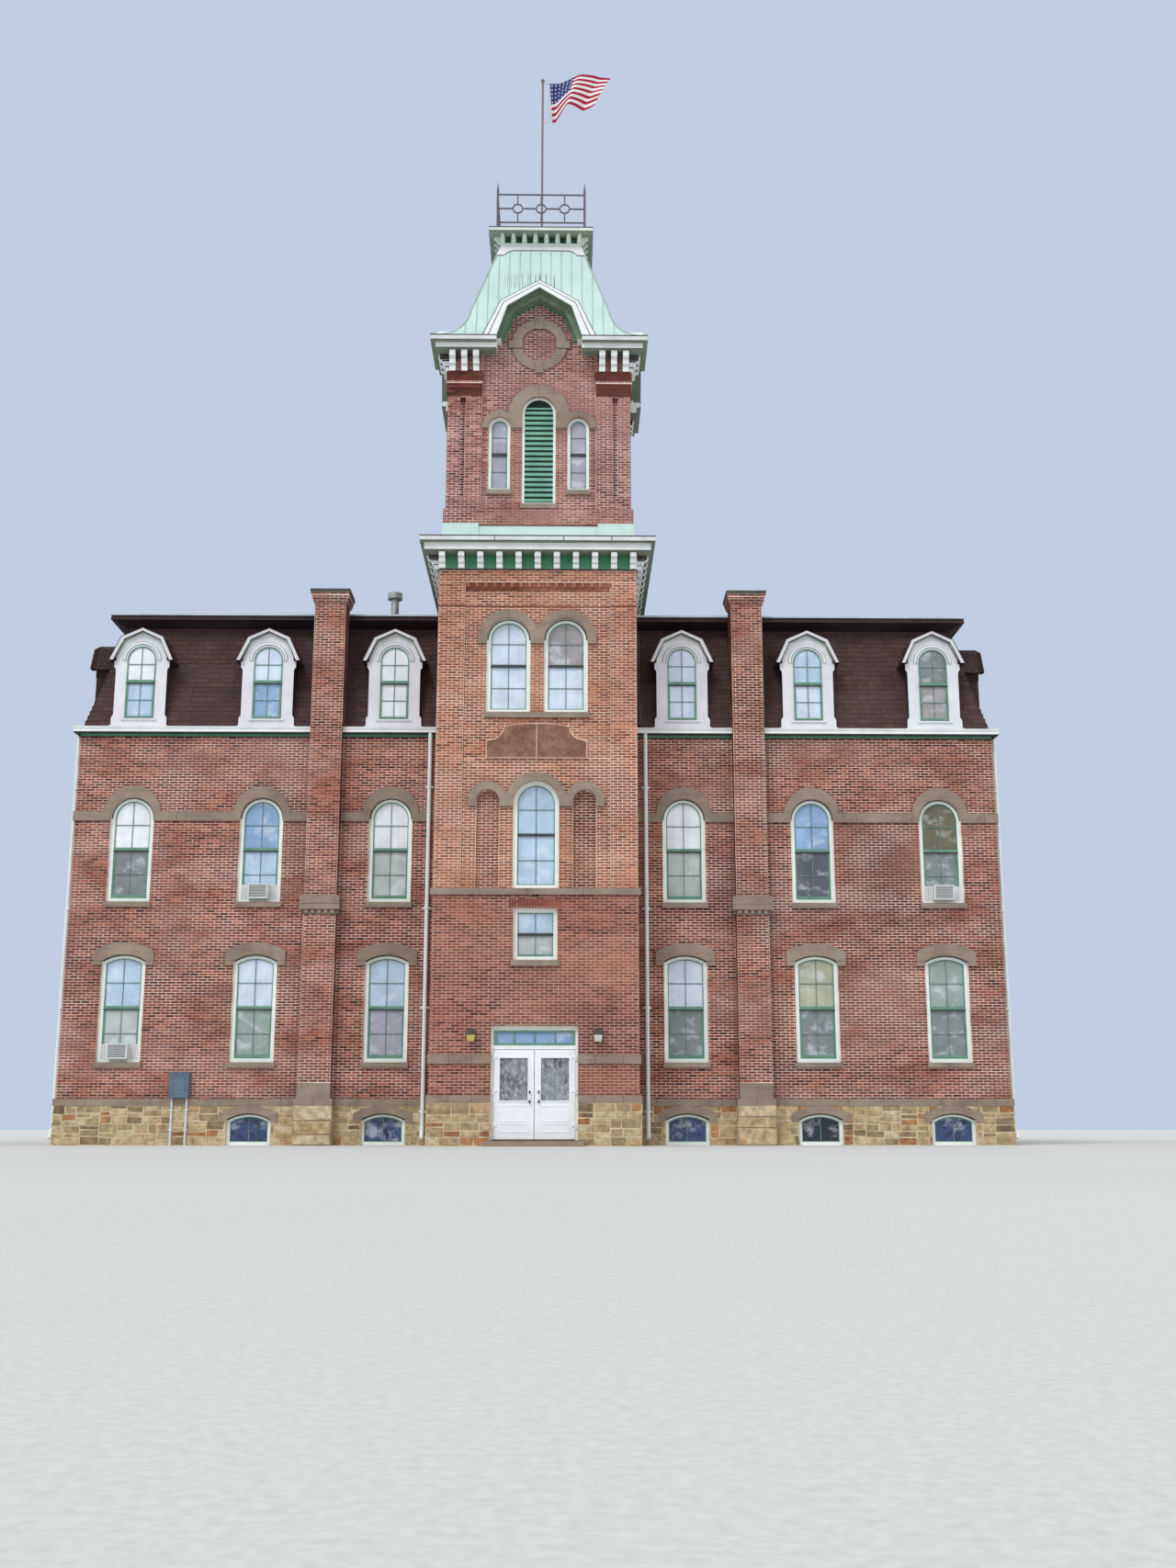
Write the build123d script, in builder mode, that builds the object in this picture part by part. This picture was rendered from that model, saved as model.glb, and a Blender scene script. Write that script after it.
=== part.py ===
"""A three-storey brick school with a mansard roof, dormers and a central bell tower.

Millimetres, +Z up. The front looks along -Y and +X is to the right when facing the front.
The origin is on the ground under the middle of the building's whole extent.
"""

import os
from collections import namedtuple

from build123d import *

# The main block
block_width = 22700
block_depth = 15800
wall = 400
foundation_proud = 40
foundation_inside = 40
foundation_top = 920
water_table_height = 160
water_table_proud = 60
wall_top = 10070
slab = 150
ground_slab = 100
first_floor_level = 1150
second_floor_level = 4850
third_floor_level = 9000

# The tower shaft
tower_size = 4780
tower_projection = 1800
tower_wall = 450
tower_base_top = 960
tower_base_proud = 50
tower_top = 14060
tower_belt_proud = 45
panel_half = 1750
panel_bottom = 5860
panel_top = 13360
panel_depth = 50
niche_depth = 130
back_arch_half = 1650
back_arch_top = 12700

# The doorway
door_half = 990
door_head = 2690
floor_at_door = 130
door_reveal = 110
frame_face = 55
frame_depth = 140
leaf_thickness = 45
leaf_top = 2150
leaf_clearance = 6
transom_bottom = 2250
transom_top = 2590
hinge_offset = 20
pin_radius = 6.5
pin_clearance = 0.5
knuckle_radius = 14
knuckle_height = 60
knuckle_gap = 0.5
hinge_heights = (250, 1010, 1770)
hinge_plate_width = 45
hinge_plate_half = 5
leaf_plate_width = 80
leaf_plate_gap = 8
leaf_plate_half = 4
leaf_bottom_gap = 20
transom_bar = 90
light_outer = 790
light_inner = 150
light_bottom = 1010
light_top = 1965
handle_x = 105
handle_bottom = 960
handle_height = 260
handle_radius = 11
handle_reach = 55
handle_stem_end = 30
handle_stem_radius = 9

# Windows
window_width = 1050
frame_border = 75
frame_setback = 60
window_frame_depth = 110
rail_height = 60
rail_depth = 45
glass = 8
hood_proud = 50
sill_proud = 80
sill_height = 120
sill_extra = 40
first_sill = 1930
first_head = 4500
first_rise = 150
first_hood_bottom = 4240
first_hood_side = 195
second_hood_side = 160
hood_crown = 290
belt_bottom = 7780
belt_top = 8010
second_sill = 5775
second_head = 8370
basement_head = 740
basement_rise = 140
basement_border = 60
basement_hood_ear = 60
column_spacing = 3170
front_column = 3610
stair_window_width = 1020
stair_window_sill = 4190
stair_window_head = 5400
tower_window_width = 1070
tower_window_head = 8430
paired_x = 690
paired_width = 1045
paired_sill = 10100
paired_head = 12450
niche_x = 1145
niche_width = 545
niche_head = 8220
tower_hood_bottom = 7810
tower_hood = 200
niche_hood = 190
paired_hood = 210
paired_hood_bottom = 11810
tower_hood_proud = 40
tower_sill_height = 130
tower_sill_margin = 50
belt_stone_top = 1125
door_belt_bottom = 1830
door_belt_top = 2030
panel_belt_bottom = 5710
tower_course_proud = 60

# The eaves, the mansard and the upper roof
eaves_bottom = 9920
board_top = 10000
eaves_top = 10150
eaves_reach = 150
board_proud = 40
mansard_inset = 20
mansard_lean = 790
mansard_top = 12960
mansard_thickness = 180
mitre_seam = 1
deck_soffit_height = 140
deck_top = 13260
deck_overhang = 380

# Dormers
dormer_inset = 10
dormer_half = 640
dormer_foot_half = 690
dormer_wall = 60
dormer_eaves = 11870
dormer_hood_half = 810
dormer_knee_half = 530
dormer_knee = 12480
dormer_apex = 12715
dormer_hood = 95
dormer_hood_knee_share = 0.6
dormer_hood_rise_share = 0.8
dormer_foot_top = 10380
dormer_flare_top = 10530
slope_opening_bottom = 10300
dormer_hood_reach = 120
dormer_window_width = 730
dormer_window_sill = 10375
dormer_window_head = 12250
dormer_border = 50

# Chimneys
chimney_x = 5230
pier_width = 770
pier_projection = 320
pier_base_width = 910
pier_base_top = 1080
pier_block_top = 1440
band_bottom = 5440
band_top = 5890
band_width = 957
pier_dressing = 8
band_reach = 90
dentil_height = 120
stack_top = 13560
cap_top = 13650
cap_reach = 110
corbel_bottom = 13350
corbel_reaches = (40, 65, 85)
flue_width = 380
flue_depth = 260

# The stone tablet
tablet_half = 1180
tablet_bottom = 9000
tablet_ear = 9390
tablet_scoop_half = 900
tablet_scoop = 9480
tablet_top_half = 770
tablet_neck = 9700
tablet_shoulder = 9740
tablet_top = 9810
tablet_proud = 30

# The tower cornice and the belfry
cornice_reach = 450
fascia_reach = 350
fascia_top = 14250
cornice_top = 14400
frieze_bottom = 13690
frieze_proud = 30
bracket_width = 150
bracket_reach = 300
bracket_count = 11
bracket_margin = 5
bracket_steps = ((0.35, 0), (0.42, 0.28), (0.62, 0.34), (0.68, 0.6), (1, 0.68))
flashing_top = 14840
flashing_reach = 90
belfry_size = 4500
belfry_wall = 350
belfry_base_top = 15280
belfry_base_proud = 60
belfry_pilaster = 830
belfry_recess = 40
belfry_recess_bottom = 15300
belfry_cornice_bottom = 19450
belfry_fascia_top = 19600
belfry_cornice_top = 19750
belfry_fascia_reach = 340
belfry_cornice_reach = 455
belfry_bracket_bottom = 18950
belfry_bracket_reach = 280
belfry_bracket_spacing = 295
belfry_bracket_count = 3
gable_foot_half = 950
gable_knee_half = 645
gable_knee = 20520
gable_apex = 20870
verge_foot_half = 1065
verge_knee_half = 805
verge_knee = 20545
verge_apex = 21045
verge_reach = 250
hood_foot_half = 1420
hood_knee_half = 978
hood_knee = 20690
hood_apex = 21255
hood_back = 100
louvre_width = 830
louvre_sill = 15440
louvre_head = 18290
louvre_count = 20
louvre_border = 60
belfry_frame_setback = 30
side_light_x = 980
side_light_width = 535
side_light_sill = 15810
side_light_head = 17740
light_hood_border = 170
belfry_hood_bottom = 17450
louvre_hood_crown = 300
louvre_hood_side = 330
belfry_stone_proud = 40
medallion_z = 19720
medallion_outer = 690
medallion_inner = 455
keystone_width = 200
keystone_inner = 430
keystone_outer = 775

# The tower roof, its deck and railing
roof_flare_half = 2080
roof_flare_z = 20210
roof_hip_half = 1770
roof_hip_z = 20910
roof_top_half = 1065
roof_top = 23120
roof_shell = 70
deck_bracket_bottom = 23240
deck_frieze_top = 23430
deck_bracket_reach = 180
deck_cornice_half = 1365
deck_cornice_top = 23550
deck_bracket_count = 8
deck_bracket_width = 90
railing_half = 1150
railing_post = 60
railing_post_top = 24720
spear_top = 24970
spear_tip = 3
railing_rail = 32
railing_levels = (23795, 24200, 24610)
railing_ring_radius = 126
railing_ring_spacing = 620
pole_radius = 29
pole_top = 28860
truck_radius = 55

# The flag and its halyard
flag_hoist = 1220
flag_fly = 1480
flag_bottom = 27560
flag_gap = 190
flag_wave = 150
flag_thickness = 20
halyard_radius = 7

# Fittings
lamp_x = 1450
lamp_bottom = 2335
lamp_lens_height = 140
lamp_lens_width = 140
lamp_height = 270
lamp_width = 190
lamp_reach = 130
lamp_stem_half = 30
lamp_stem_bottom = 150
lamp_stem_height = 60
pipe_radius = 50
downspout_x = 2670
downspout_bottom = 160
side_pipe_setback = 250
shoe_reach = 170
shoe_rise = 260
shoe_bend = 150
upper_pipe_radius = 45
upper_pipe_gap = 60
upper_pipe_foot = 160
upper_pipe_cut = 200
cabinet_x = -8420
cabinet_width = 460
cabinet_bottom = 1090
cabinet_height = 600
cabinet_depth = 190
conduit_radius = 22
conduit_spacing = 350
vent_x = -3850
vent_back = 1800
vent_radius = 105
vent_top = 14280
vent_cap_radius = 195
vent_cap_height = 160
cooler_width = 490
cooler_height = 360
cooler_reach = 150
step_width = 2260
step_reach = 400
step_drop = 20

# Places worked out from the dimensions above
half_width = block_width / 2
tower_half = tower_size / 2
belfry_half = belfry_size / 2
front_y = (tower_projection + cornice_reach - block_depth - eaves_reach) / 2
back_y = front_y + block_depth
middle_y = (front_y + back_y) / 2
tower_front_y = front_y - tower_projection
tower_y = tower_front_y + tower_half
tower_back_y = tower_front_y + tower_size
mansard_height = mansard_top - wall_top
deck_inset = mansard_inset + mansard_lean - deck_overhang
deck_edge_bottom = mansard_top + deck_soffit_height
door_y = tower_front_y + door_reveal

front = Plane(origin=(0, front_y, 0), x_dir=(1, 0, 0), z_dir=(0, -1, 0))
back = Plane(origin=(0, back_y, 0), x_dir=(-1, 0, 0), z_dir=(0, 1, 0))
left = Plane(origin=(-half_width, middle_y, 0), x_dir=(0, -1, 0), z_dir=(-1, 0, 0))
right = Plane(origin=(half_width, middle_y, 0), x_dir=(0, 1, 0), z_dir=(1, 0, 0))
tower_front = Plane(origin=(0, tower_front_y, 0), x_dir=(1, 0, 0), z_dir=(0, -1, 0))


def turned_plane(quarter, distance):
    """Upright plane a distance from the tower's axis, facing front, right, back or left."""
    x, y = ((0, -1), (1, 0), (0, 1), (-1, 0))[quarter]
    return Plane(
        origin=(x * distance, tower_y + y * distance, 0),
        x_dir=(-y, x, 0),
        z_dir=(x, y, 0),
    )


belfry_faces = [turned_plane(quarter, belfry_half) for quarter in range(4)]

# The windows of each wall, by their place along it
Window = namedtuple("Window", "u sill width head rise")
front_columns = [front_column + column_spacing * n for n in range(3)]
side_columns = [column_spacing * n for n in range(-2, 3)]
left_front = [-u for u in front_columns]
basement_columns_left = [-u for u in front_columns[:2]]


def first_window(u):
    return Window(u, first_sill, window_width, first_head, first_rise)


def second_window(u):
    return Window(u, second_sill, window_width, second_head, window_width / 2)


def basement_window(u):
    return Window(u, 0, window_width, basement_head, basement_rise)


def dormer_window(u):
    width = dormer_window_width
    return Window(u, dormer_window_sill, width, dormer_window_head, width / 2)


def storeys(columns):
    return [first_window(u) for u in columns] + [second_window(u) for u in columns]


back_columns = left_front + [0] + front_columns
facades = [
    (front, storeys(left_front + front_columns)),
    (left, storeys(side_columns)),
    (right, storeys(side_columns)),
    (back, storeys(back_columns)),
]
basements = [
    (front, basement_columns_left + front_columns),
    (left, side_columns),
    (right, side_columns),
    (back, back_columns),
]
dormer_rows = [
    (front, left_front + front_columns),
    (left, side_columns),
    (right, side_columns),
    (back, back_columns),
]
stair_window = Window(0, stair_window_sill, stair_window_width, stair_window_head, 0)
tower_window = Window(0, panel_bottom, tower_window_width, tower_window_head, tower_window_width / 2)
paired_windows = [
    Window(u, paired_sill, paired_width, paired_head, paired_width / 2)
    for u in (-paired_x, paired_x)
]
niches = [Window(u, panel_bottom, niche_width, niche_head, niche_width / 2) for u in (-niche_x, niche_x)]
louvre_window = Window(0, louvre_sill, louvre_width, louvre_head, louvre_width / 2)
side_lights = [
    Window(u, side_light_sill, side_light_width, side_light_head, side_light_width / 2)
    for u in (-side_light_x, side_light_x)
]


def window_face(window, border=0):
    """Face of a window with upright jambs and an arched or flat head, less a border."""
    half = window.width / 2 - border
    top = window.head - border
    rise = window.rise * half / (window.width / 2)
    sill = window.sill + border
    u = window.u
    with BuildSketch() as face:
        with BuildLine():
            Polyline((u - half, top - rise), (u - half, sill), (u + half, sill), (u + half, top - rise))
            if rise:
                ThreePointArc((u + half, top - rise), (u, top), (u - half, top - rise))
            else:
                Line((u + half, top), (u - half, top))
        make_face()
    return face.sketch


def frame_outline(window, border):
    """Face of a window frame: its outline less its inside."""
    with BuildSketch() as face:
        add(window_face(window))
        add(window_face(window, border), mode=Mode.SUBTRACT)
    return face.sketch


def rectangle_face(u0, u1, z0, z1):
    """Face of an upright rectangle between two places along a wall and two levels."""
    with BuildSketch() as face:
        with Locations(((u0 + u1) / 2, (z0 + z1) / 2)):
            Rectangle(abs(u1 - u0), abs(z1 - z0))
    return face.sketch


def rail_face(window, border):
    """Face of the meeting rail halfway up a window."""
    half = window.width / 2 - border
    middle = (window.sill + window.head) / 2
    return rectangle_face(window.u - half, window.u + half, middle - rail_height / 2, middle + rail_height / 2)


def sill_face(window):
    half = window.width / 2 + sill_extra
    return rectangle_face(window.u - half, window.u + half, window.sill - sill_height, window.sill)


def hood_face(window, crown, side, bottom):
    """Face of a stone hood: a band that follows a window's arch, down to its ears."""
    half = window.width / 2 + side
    spring = window.head - window.rise
    top = window.head + crown
    shoulder = top - window.rise * half / (window.width / 2)
    u = window.u
    with BuildSketch() as face:
        with BuildLine():
            Polyline((u - half, shoulder), (u - half, bottom), (u + half, bottom), (u + half, shoulder))
            ThreePointArc((u + half, shoulder), (u, top), (u - half, shoulder))
        make_face()
        add(window_face(window._replace(sill=min(bottom, spring) - 1)), mode=Mode.SUBTRACT)
    return face.sketch


def box(x0, x1, y0, y1, z0, z1, mode=Mode.ADD):
    """Box between two corners."""
    with Locations(((x0 + x1) / 2, (y0 + y1) / 2, (z0 + z1) / 2)):
        Box(abs(x1 - x0), abs(y1 - y0), abs(z1 - z0), mode=mode)


def save(piece, name):
    piece.part.label = name
    export_step(piece.part, f"parts/{name}.step")


def wall_plate(plane, u0, u1, z0, z1, thickness, windows, with_sills=True):
    """Wall between two places and levels, with its windows and their sills cut through."""
    with BuildPart() as plate:
        with BuildSketch(plane):
            add(rectangle_face(u0, u1, z0, z1))
            for window in windows:
                add(window_face(window), mode=Mode.SUBTRACT)
                if with_sills:
                    add(sill_face(window), mode=Mode.SUBTRACT)
        extrude(amount=-thickness)
    return plate


os.makedirs("parts", exist_ok=True)

# Stone foundations under the main block
foundation_thickness = wall + foundation_proud + foundation_inside
foundation_out = half_width + foundation_proud
foundation_in = foundation_out - foundation_thickness
side_run = block_depth / 2 + foundation_proud - foundation_thickness
tower_base_half = tower_half + tower_base_proud

with BuildPart() as foundation_front:
    with BuildSketch(front.offset(foundation_proud)):
        for side in (-1, 1):
            add(rectangle_face(side * tower_half, side * foundation_out, 0, foundation_top))
        for u in basements[0][1]:
            add(window_face(basement_window(u)), mode=Mode.SUBTRACT)
    extrude(amount=-foundation_thickness)
save(foundation_front, "foundation_front")

with BuildPart() as foundation_sides:
    for plane in (left, right):
        with BuildSketch(plane.offset(foundation_proud)):
            add(rectangle_face(-side_run, side_run, 0, foundation_top))
            for u in side_columns:
                add(window_face(basement_window(u)), mode=Mode.SUBTRACT)
        extrude(amount=-foundation_thickness)
save(foundation_sides, "foundation_sides")

with BuildPart() as foundation_back:
    with BuildSketch(back.offset(foundation_proud)):
        add(rectangle_face(-foundation_out, foundation_out, 0, foundation_top))
        for u in back_columns:
            add(window_face(basement_window(u)), mode=Mode.SUBTRACT)
    extrude(amount=-foundation_thickness)
save(foundation_back, "foundation_back")

# Stone base of the tower, open at the doorway
with BuildPart() as tower_base_front:
    with BuildSketch(tower_front.offset(tower_base_proud)):
        for side in (-1, 1):
            add(rectangle_face(side * door_half, side * tower_base_half, 0, tower_base_top))
    extrude(amount=-tower_base_proud - tower_wall)
save(tower_base_front, "tower_base_front")

with BuildPart() as tower_base_sides:
    for side in (-1, 1):
        box(side * (tower_half - tower_wall), side * tower_half,
            tower_front_y + tower_wall, tower_back_y - tower_wall, 0, tower_base_top)
        box(side * tower_half, side * tower_base_half,
            tower_front_y + tower_wall, front_y - foundation_proud, 0, tower_base_top)
save(tower_base_sides, "tower_base_sides")

# Water table, a stone course over the foundations, with the basement windows' hoods
basement_hood = foundation_top - basement_head
basement_ear_bottom = basement_head - basement_rise - basement_hood_ear

with BuildPart() as water_table:
    proud = half_width + water_table_proud
    with BuildSketch(Plane.XY.offset(foundation_top)):
        with Locations((0, middle_y)):
            Rectangle(2 * proud, block_depth + 2 * water_table_proud)
            Rectangle(block_width, block_depth, mode=Mode.SUBTRACT)
        with Locations((0, front_y)):
            Rectangle(2 * (tower_half + water_table_proud), 2 * water_table_proud, mode=Mode.SUBTRACT)
        with Locations((-chimney_x, front_y), (chimney_x, front_y)):
            Rectangle(pier_base_width, 2 * water_table_proud, mode=Mode.SUBTRACT)
    extrude(amount=water_table_height)
    for plane, columns in basements:
        with BuildSketch(plane.offset(foundation_proud)):
            for u in columns:
                window = basement_window(u)
                add(hood_face(window, basement_hood, basement_hood, basement_ear_bottom))
        extrude(amount=water_table_proud - foundation_proud)
save(water_table, "water_table")

# Brick walls of the main block
side_wall_run = block_depth / 2 - wall
left_bays = storeys(left_front)
right_bays = storeys(front_columns)
front_wall_left = wall_plate(front, -half_width, -tower_half, foundation_top, wall_top, wall, left_bays)
save(front_wall_left, "front_wall_left")
front_wall_right = wall_plate(front, tower_half, half_width, foundation_top, wall_top, wall, right_bays)
save(front_wall_right, "front_wall_right")
side_bays = storeys(side_columns)
left_wall = wall_plate(left, -side_wall_run, side_wall_run, foundation_top, wall_top, wall, side_bays)
save(left_wall, "left_wall")
right_wall = wall_plate(right, -side_wall_run, side_wall_run, foundation_top, wall_top, wall, side_bays)
save(right_wall, "right_wall")
back_bays = storeys(back_columns)
back_wall = wall_plate(back, -half_width, half_width, foundation_top, wall_top, wall, back_bays)
save(back_wall, "back_wall")

# Tower walls
with BuildPart() as tower_wall_beside_door:
    with BuildSketch(tower_front):
        for side in (-1, 1):
            add(rectangle_face(side * door_half, side * tower_half, tower_base_top, door_head))
    extrude(amount=-tower_wall)
save(tower_wall_beside_door, "tower_wall_beside_door")

with BuildPart() as tower_front_wall:
    with BuildSketch(tower_front):
        add(rectangle_face(-tower_half, tower_half, door_head, tower_top))
        for window in (stair_window, tower_window, *paired_windows):
            add(window_face(window), mode=Mode.SUBTRACT)
    extrude(amount=-tower_wall)
    with BuildSketch(tower_front):
        add(rectangle_face(-panel_half, panel_half, panel_bottom, panel_top))
    extrude(amount=-panel_depth, mode=Mode.SUBTRACT)
    with BuildSketch(tower_front):
        for niche in niches:
            add(window_face(niche))
    extrude(amount=-niche_depth, mode=Mode.SUBTRACT)
save(tower_front_wall, "tower_front_wall")

with BuildPart() as tower_side_walls:
    for side in (-1, 1):
        box(side * (tower_half - tower_wall), side * tower_half,
            tower_front_y + tower_wall, tower_back_y - tower_wall, tower_base_top, tower_top)
save(tower_side_walls, "tower_side_walls")

with BuildPart() as tower_back_wall:
    with BuildSketch(turned_plane(2, tower_half)):
        add(rectangle_face(-tower_half, tower_half, 0, tower_top))
        add(rectangle_face(-back_arch_half, back_arch_half, -1, back_arch_top), mode=Mode.SUBTRACT)
    extrude(amount=-tower_wall)
save(tower_back_wall, "tower_back_wall")

# Floors
inside_half = half_width - wall
inside_front = front_y + wall
inside_back = back_y - wall
tower_inside = tower_half - tower_wall


def block_floor(top, thickness, half, y0, y1):
    """Floor of the main block between its walls, notched round the tower."""
    with BuildPart() as floor:
        box(-half, half, y0, y1, top - thickness, top)
        box(-tower_half, tower_half, y0, tower_back_y, top - thickness, top, mode=Mode.SUBTRACT)
    return floor


with BuildPart() as ground_floor:
    add(block_floor(ground_slab, ground_slab, foundation_in, front_y + foundation_thickness
                    - foundation_proud, back_y - foundation_thickness + foundation_proud).part)
    box(-tower_inside, tower_inside, tower_front_y + tower_wall, tower_back_y - tower_wall, 0, floor_at_door)
    box(-back_arch_half, back_arch_half, tower_back_y - tower_wall, tower_back_y, 0, ground_slab)
    box(-door_half, door_half, tower_front_y, tower_front_y + tower_wall, 0, floor_at_door)
save(ground_floor, "ground_floor")

first_floor = block_floor(first_floor_level, slab, inside_half, inside_front, inside_back)
save(first_floor, "first_floor")
second_floor = block_floor(second_floor_level, slab, inside_half, inside_front, inside_back)
save(second_floor, "second_floor")

with BuildPart() as third_floor:
    add(block_floor(third_floor_level, slab, inside_half, inside_front, inside_back).part)
    floor_bottom = third_floor_level - slab
    box(-tower_inside, tower_inside, tower_front_y + tower_wall, tower_back_y - tower_wall,
        floor_bottom, third_floor_level)
    box(-back_arch_half, back_arch_half, tower_back_y - tower_wall, tower_back_y,
        floor_bottom, third_floor_level)
save(third_floor, "third_floor")

# Window hoods of the main block, with the belt that joins those of the second floor
belt_reach = half_width + hood_proud


def belts(plane):
    """Stretches of the belt along one wall, broken at the tower and the chimney piers."""
    if plane is front:
        inner = tower_half + tower_belt_proud
        pier = pier_width / 2
        runs = [(inner, chimney_x - pier), (chimney_x + pier, belt_reach)]
        return runs + [(-b, -a) for a, b in runs]
    if plane is back:
        return [(-belt_reach, belt_reach)]
    return [(-block_depth / 2 - hood_proud, block_depth / 2 + hood_proud)]


with BuildPart() as window_stonework:
    for plane, windows in facades:
        firsts = [w for w in windows if w.sill == first_sill]
        seconds = [w for w in windows if w.sill == second_sill]
        with BuildSketch(plane):
            for u0, u1 in belts(plane):
                add(rectangle_face(u0, u1, belt_bottom, belt_top))
            for window in seconds:
                add(window_face(window), mode=Mode.SUBTRACT)
            for window in seconds:
                add(hood_face(window, hood_crown, second_hood_side, belt_bottom))
            for window in firsts:
                add(hood_face(window, hood_crown, first_hood_side, first_hood_bottom))
        extrude(amount=hood_proud)
        with BuildSketch(plane.offset(sill_proud)):
            for window in windows:
                add(sill_face(window))
        extrude(amount=-sill_proud - wall)
save(window_stonework, "window_stonework")

# Stone belts, hoods and sills of the tower
tower_belts = [
    (tower_base_top, belt_stone_top, tower_course_proud, door_half),
    (door_belt_bottom, door_belt_top, tower_belt_proud, door_half),
    (panel_belt_bottom, panel_bottom, tower_course_proud, 0),
]

with BuildPart() as tower_stonework:
    for bottom, top, proud, gap in tower_belts:
        with BuildSketch(Plane.XY.offset(bottom)):
            with Locations((0, (tower_front_y + front_y) / 2)):
                Rectangle(tower_size + 2 * proud, tower_projection, mode=Mode.ADD)
            with Locations((0, tower_front_y)):
                Rectangle(tower_size + 2 * proud, 2 * proud, mode=Mode.ADD)
            with Locations((0, (tower_front_y + front_y) / 2)):
                Rectangle(tower_size, tower_projection, mode=Mode.SUBTRACT)
            if gap:
                with Locations((0, tower_front_y)):
                    Rectangle(2 * gap, 4 * proud, mode=Mode.SUBTRACT)
        extrude(amount=top - bottom)
    with BuildSketch(tower_front.offset(-panel_depth)):
        add(hood_face(tower_window, tower_hood, tower_hood, tower_hood_bottom))
        for niche in niches:
            add(hood_face(niche, niche_hood, niche_hood, tower_hood_bottom))
            add(window_face(niche), mode=Mode.SUBTRACT)
        add(window_face(tower_window), mode=Mode.SUBTRACT)
        for window in paired_windows:
            add(hood_face(window, paired_hood, paired_hood, paired_hood_bottom))
        for window in paired_windows:
            add(window_face(window), mode=Mode.SUBTRACT)
        half = paired_x + paired_width / 2 + tower_sill_margin
        add(rectangle_face(-half, half, paired_sill - tower_sill_height, paired_sill))
    extrude(amount=panel_depth + tower_hood_proud)
    with BuildSketch(tower_front):
        half = stair_window_width / 2 + tower_sill_margin
        add(rectangle_face(-half, half, stair_window_sill - tower_sill_height, stair_window_sill))
    extrude(amount=sill_proud)
save(tower_stonework, "tower_stonework")

# Blank stone tablet under the paired windows
with BuildPart() as name_tablet:
    with BuildSketch(tower_front.offset(-panel_depth)):
        with BuildLine():
            Polyline((-tablet_top_half, tablet_shoulder), (-tablet_top_half, tablet_neck))
            ThreePointArc(
                (-tablet_top_half, tablet_neck),
                (-tablet_scoop_half, tablet_scoop),
                (-tablet_half, tablet_ear),
            )
            Polyline(
                (-tablet_half, tablet_ear),
                (-tablet_half, tablet_bottom),
                (tablet_half, tablet_bottom),
                (tablet_half, tablet_ear),
            )
            ThreePointArc(
                (tablet_half, tablet_ear),
                (tablet_scoop_half, tablet_scoop),
                (tablet_top_half, tablet_neck),
            )
            Line((tablet_top_half, tablet_neck), (tablet_top_half, tablet_shoulder))
            ThreePointArc(
                (tablet_top_half, tablet_shoulder),
                (0, tablet_top),
                (-tablet_top_half, tablet_shoulder),
            )
        make_face()
    extrude(amount=panel_depth + tablet_proud)
save(name_tablet, "name_tablet")


# Tower cornice: brackets on a frieze board under a deck plate that carries the belfry
def square_slab(half, bottom, top, mode=Mode.ADD):
    """Slab centred on the tower's axis between two levels."""
    with Locations((0, tower_y, (bottom + top) / 2)):
        Box(2 * half, 2 * half, top - bottom, mode=mode)


def bracket_row(face, centres, width, reach, bottom, top):
    """Brackets on a face, each stepped out from its foot to its full reach at the top."""
    height = top - bottom
    span = abs(centres[0]) + width
    with BuildPart() as row:
        with BuildSketch(face):
            with Locations(*[(u, (bottom + top) / 2) for u in centres]):
                Rectangle(width, height)
        extrude(amount=reach)
        with BuildSketch(Plane(origin=face.origin, x_dir=face.z_dir, z_dir=-face.x_dir)):
            with BuildLine():
                Polyline(
                    (0, bottom),
                    *[(share * reach, bottom + rise * height) for share, rise in bracket_steps],
                    (reach, top),
                    (0, top),
                    close=True,
                )
            make_face()
        extrude(amount=span, both=True, mode=Mode.INTERSECT)
    return row.part


with BuildPart() as tower_cornice:
    square_slab(tower_half + fascia_reach, tower_top, fascia_top)
    square_slab(tower_half + cornice_reach, fascia_top, cornice_top)
    square_slab(tower_half + frieze_proud, frieze_bottom, tower_top)
    square_slab(tower_half, frieze_bottom, tower_top, mode=Mode.SUBTRACT)
    bracket_spacing = (tower_size - bracket_width) / (bracket_count - 1)
    bracket_places = [bracket_spacing * (n - (bracket_count - 1) / 2) for n in range(bracket_count)]
    for quarter in range(4):
        face = turned_plane(quarter, tower_half + frieze_proud)
        add(bracket_row(face, bracket_places, bracket_width, bracket_reach - frieze_proud,
                        frieze_bottom, tower_top))
save(tower_cornice, "tower_cornice")

# Belfry walls
belfry_inside = belfry_half - belfry_wall


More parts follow.
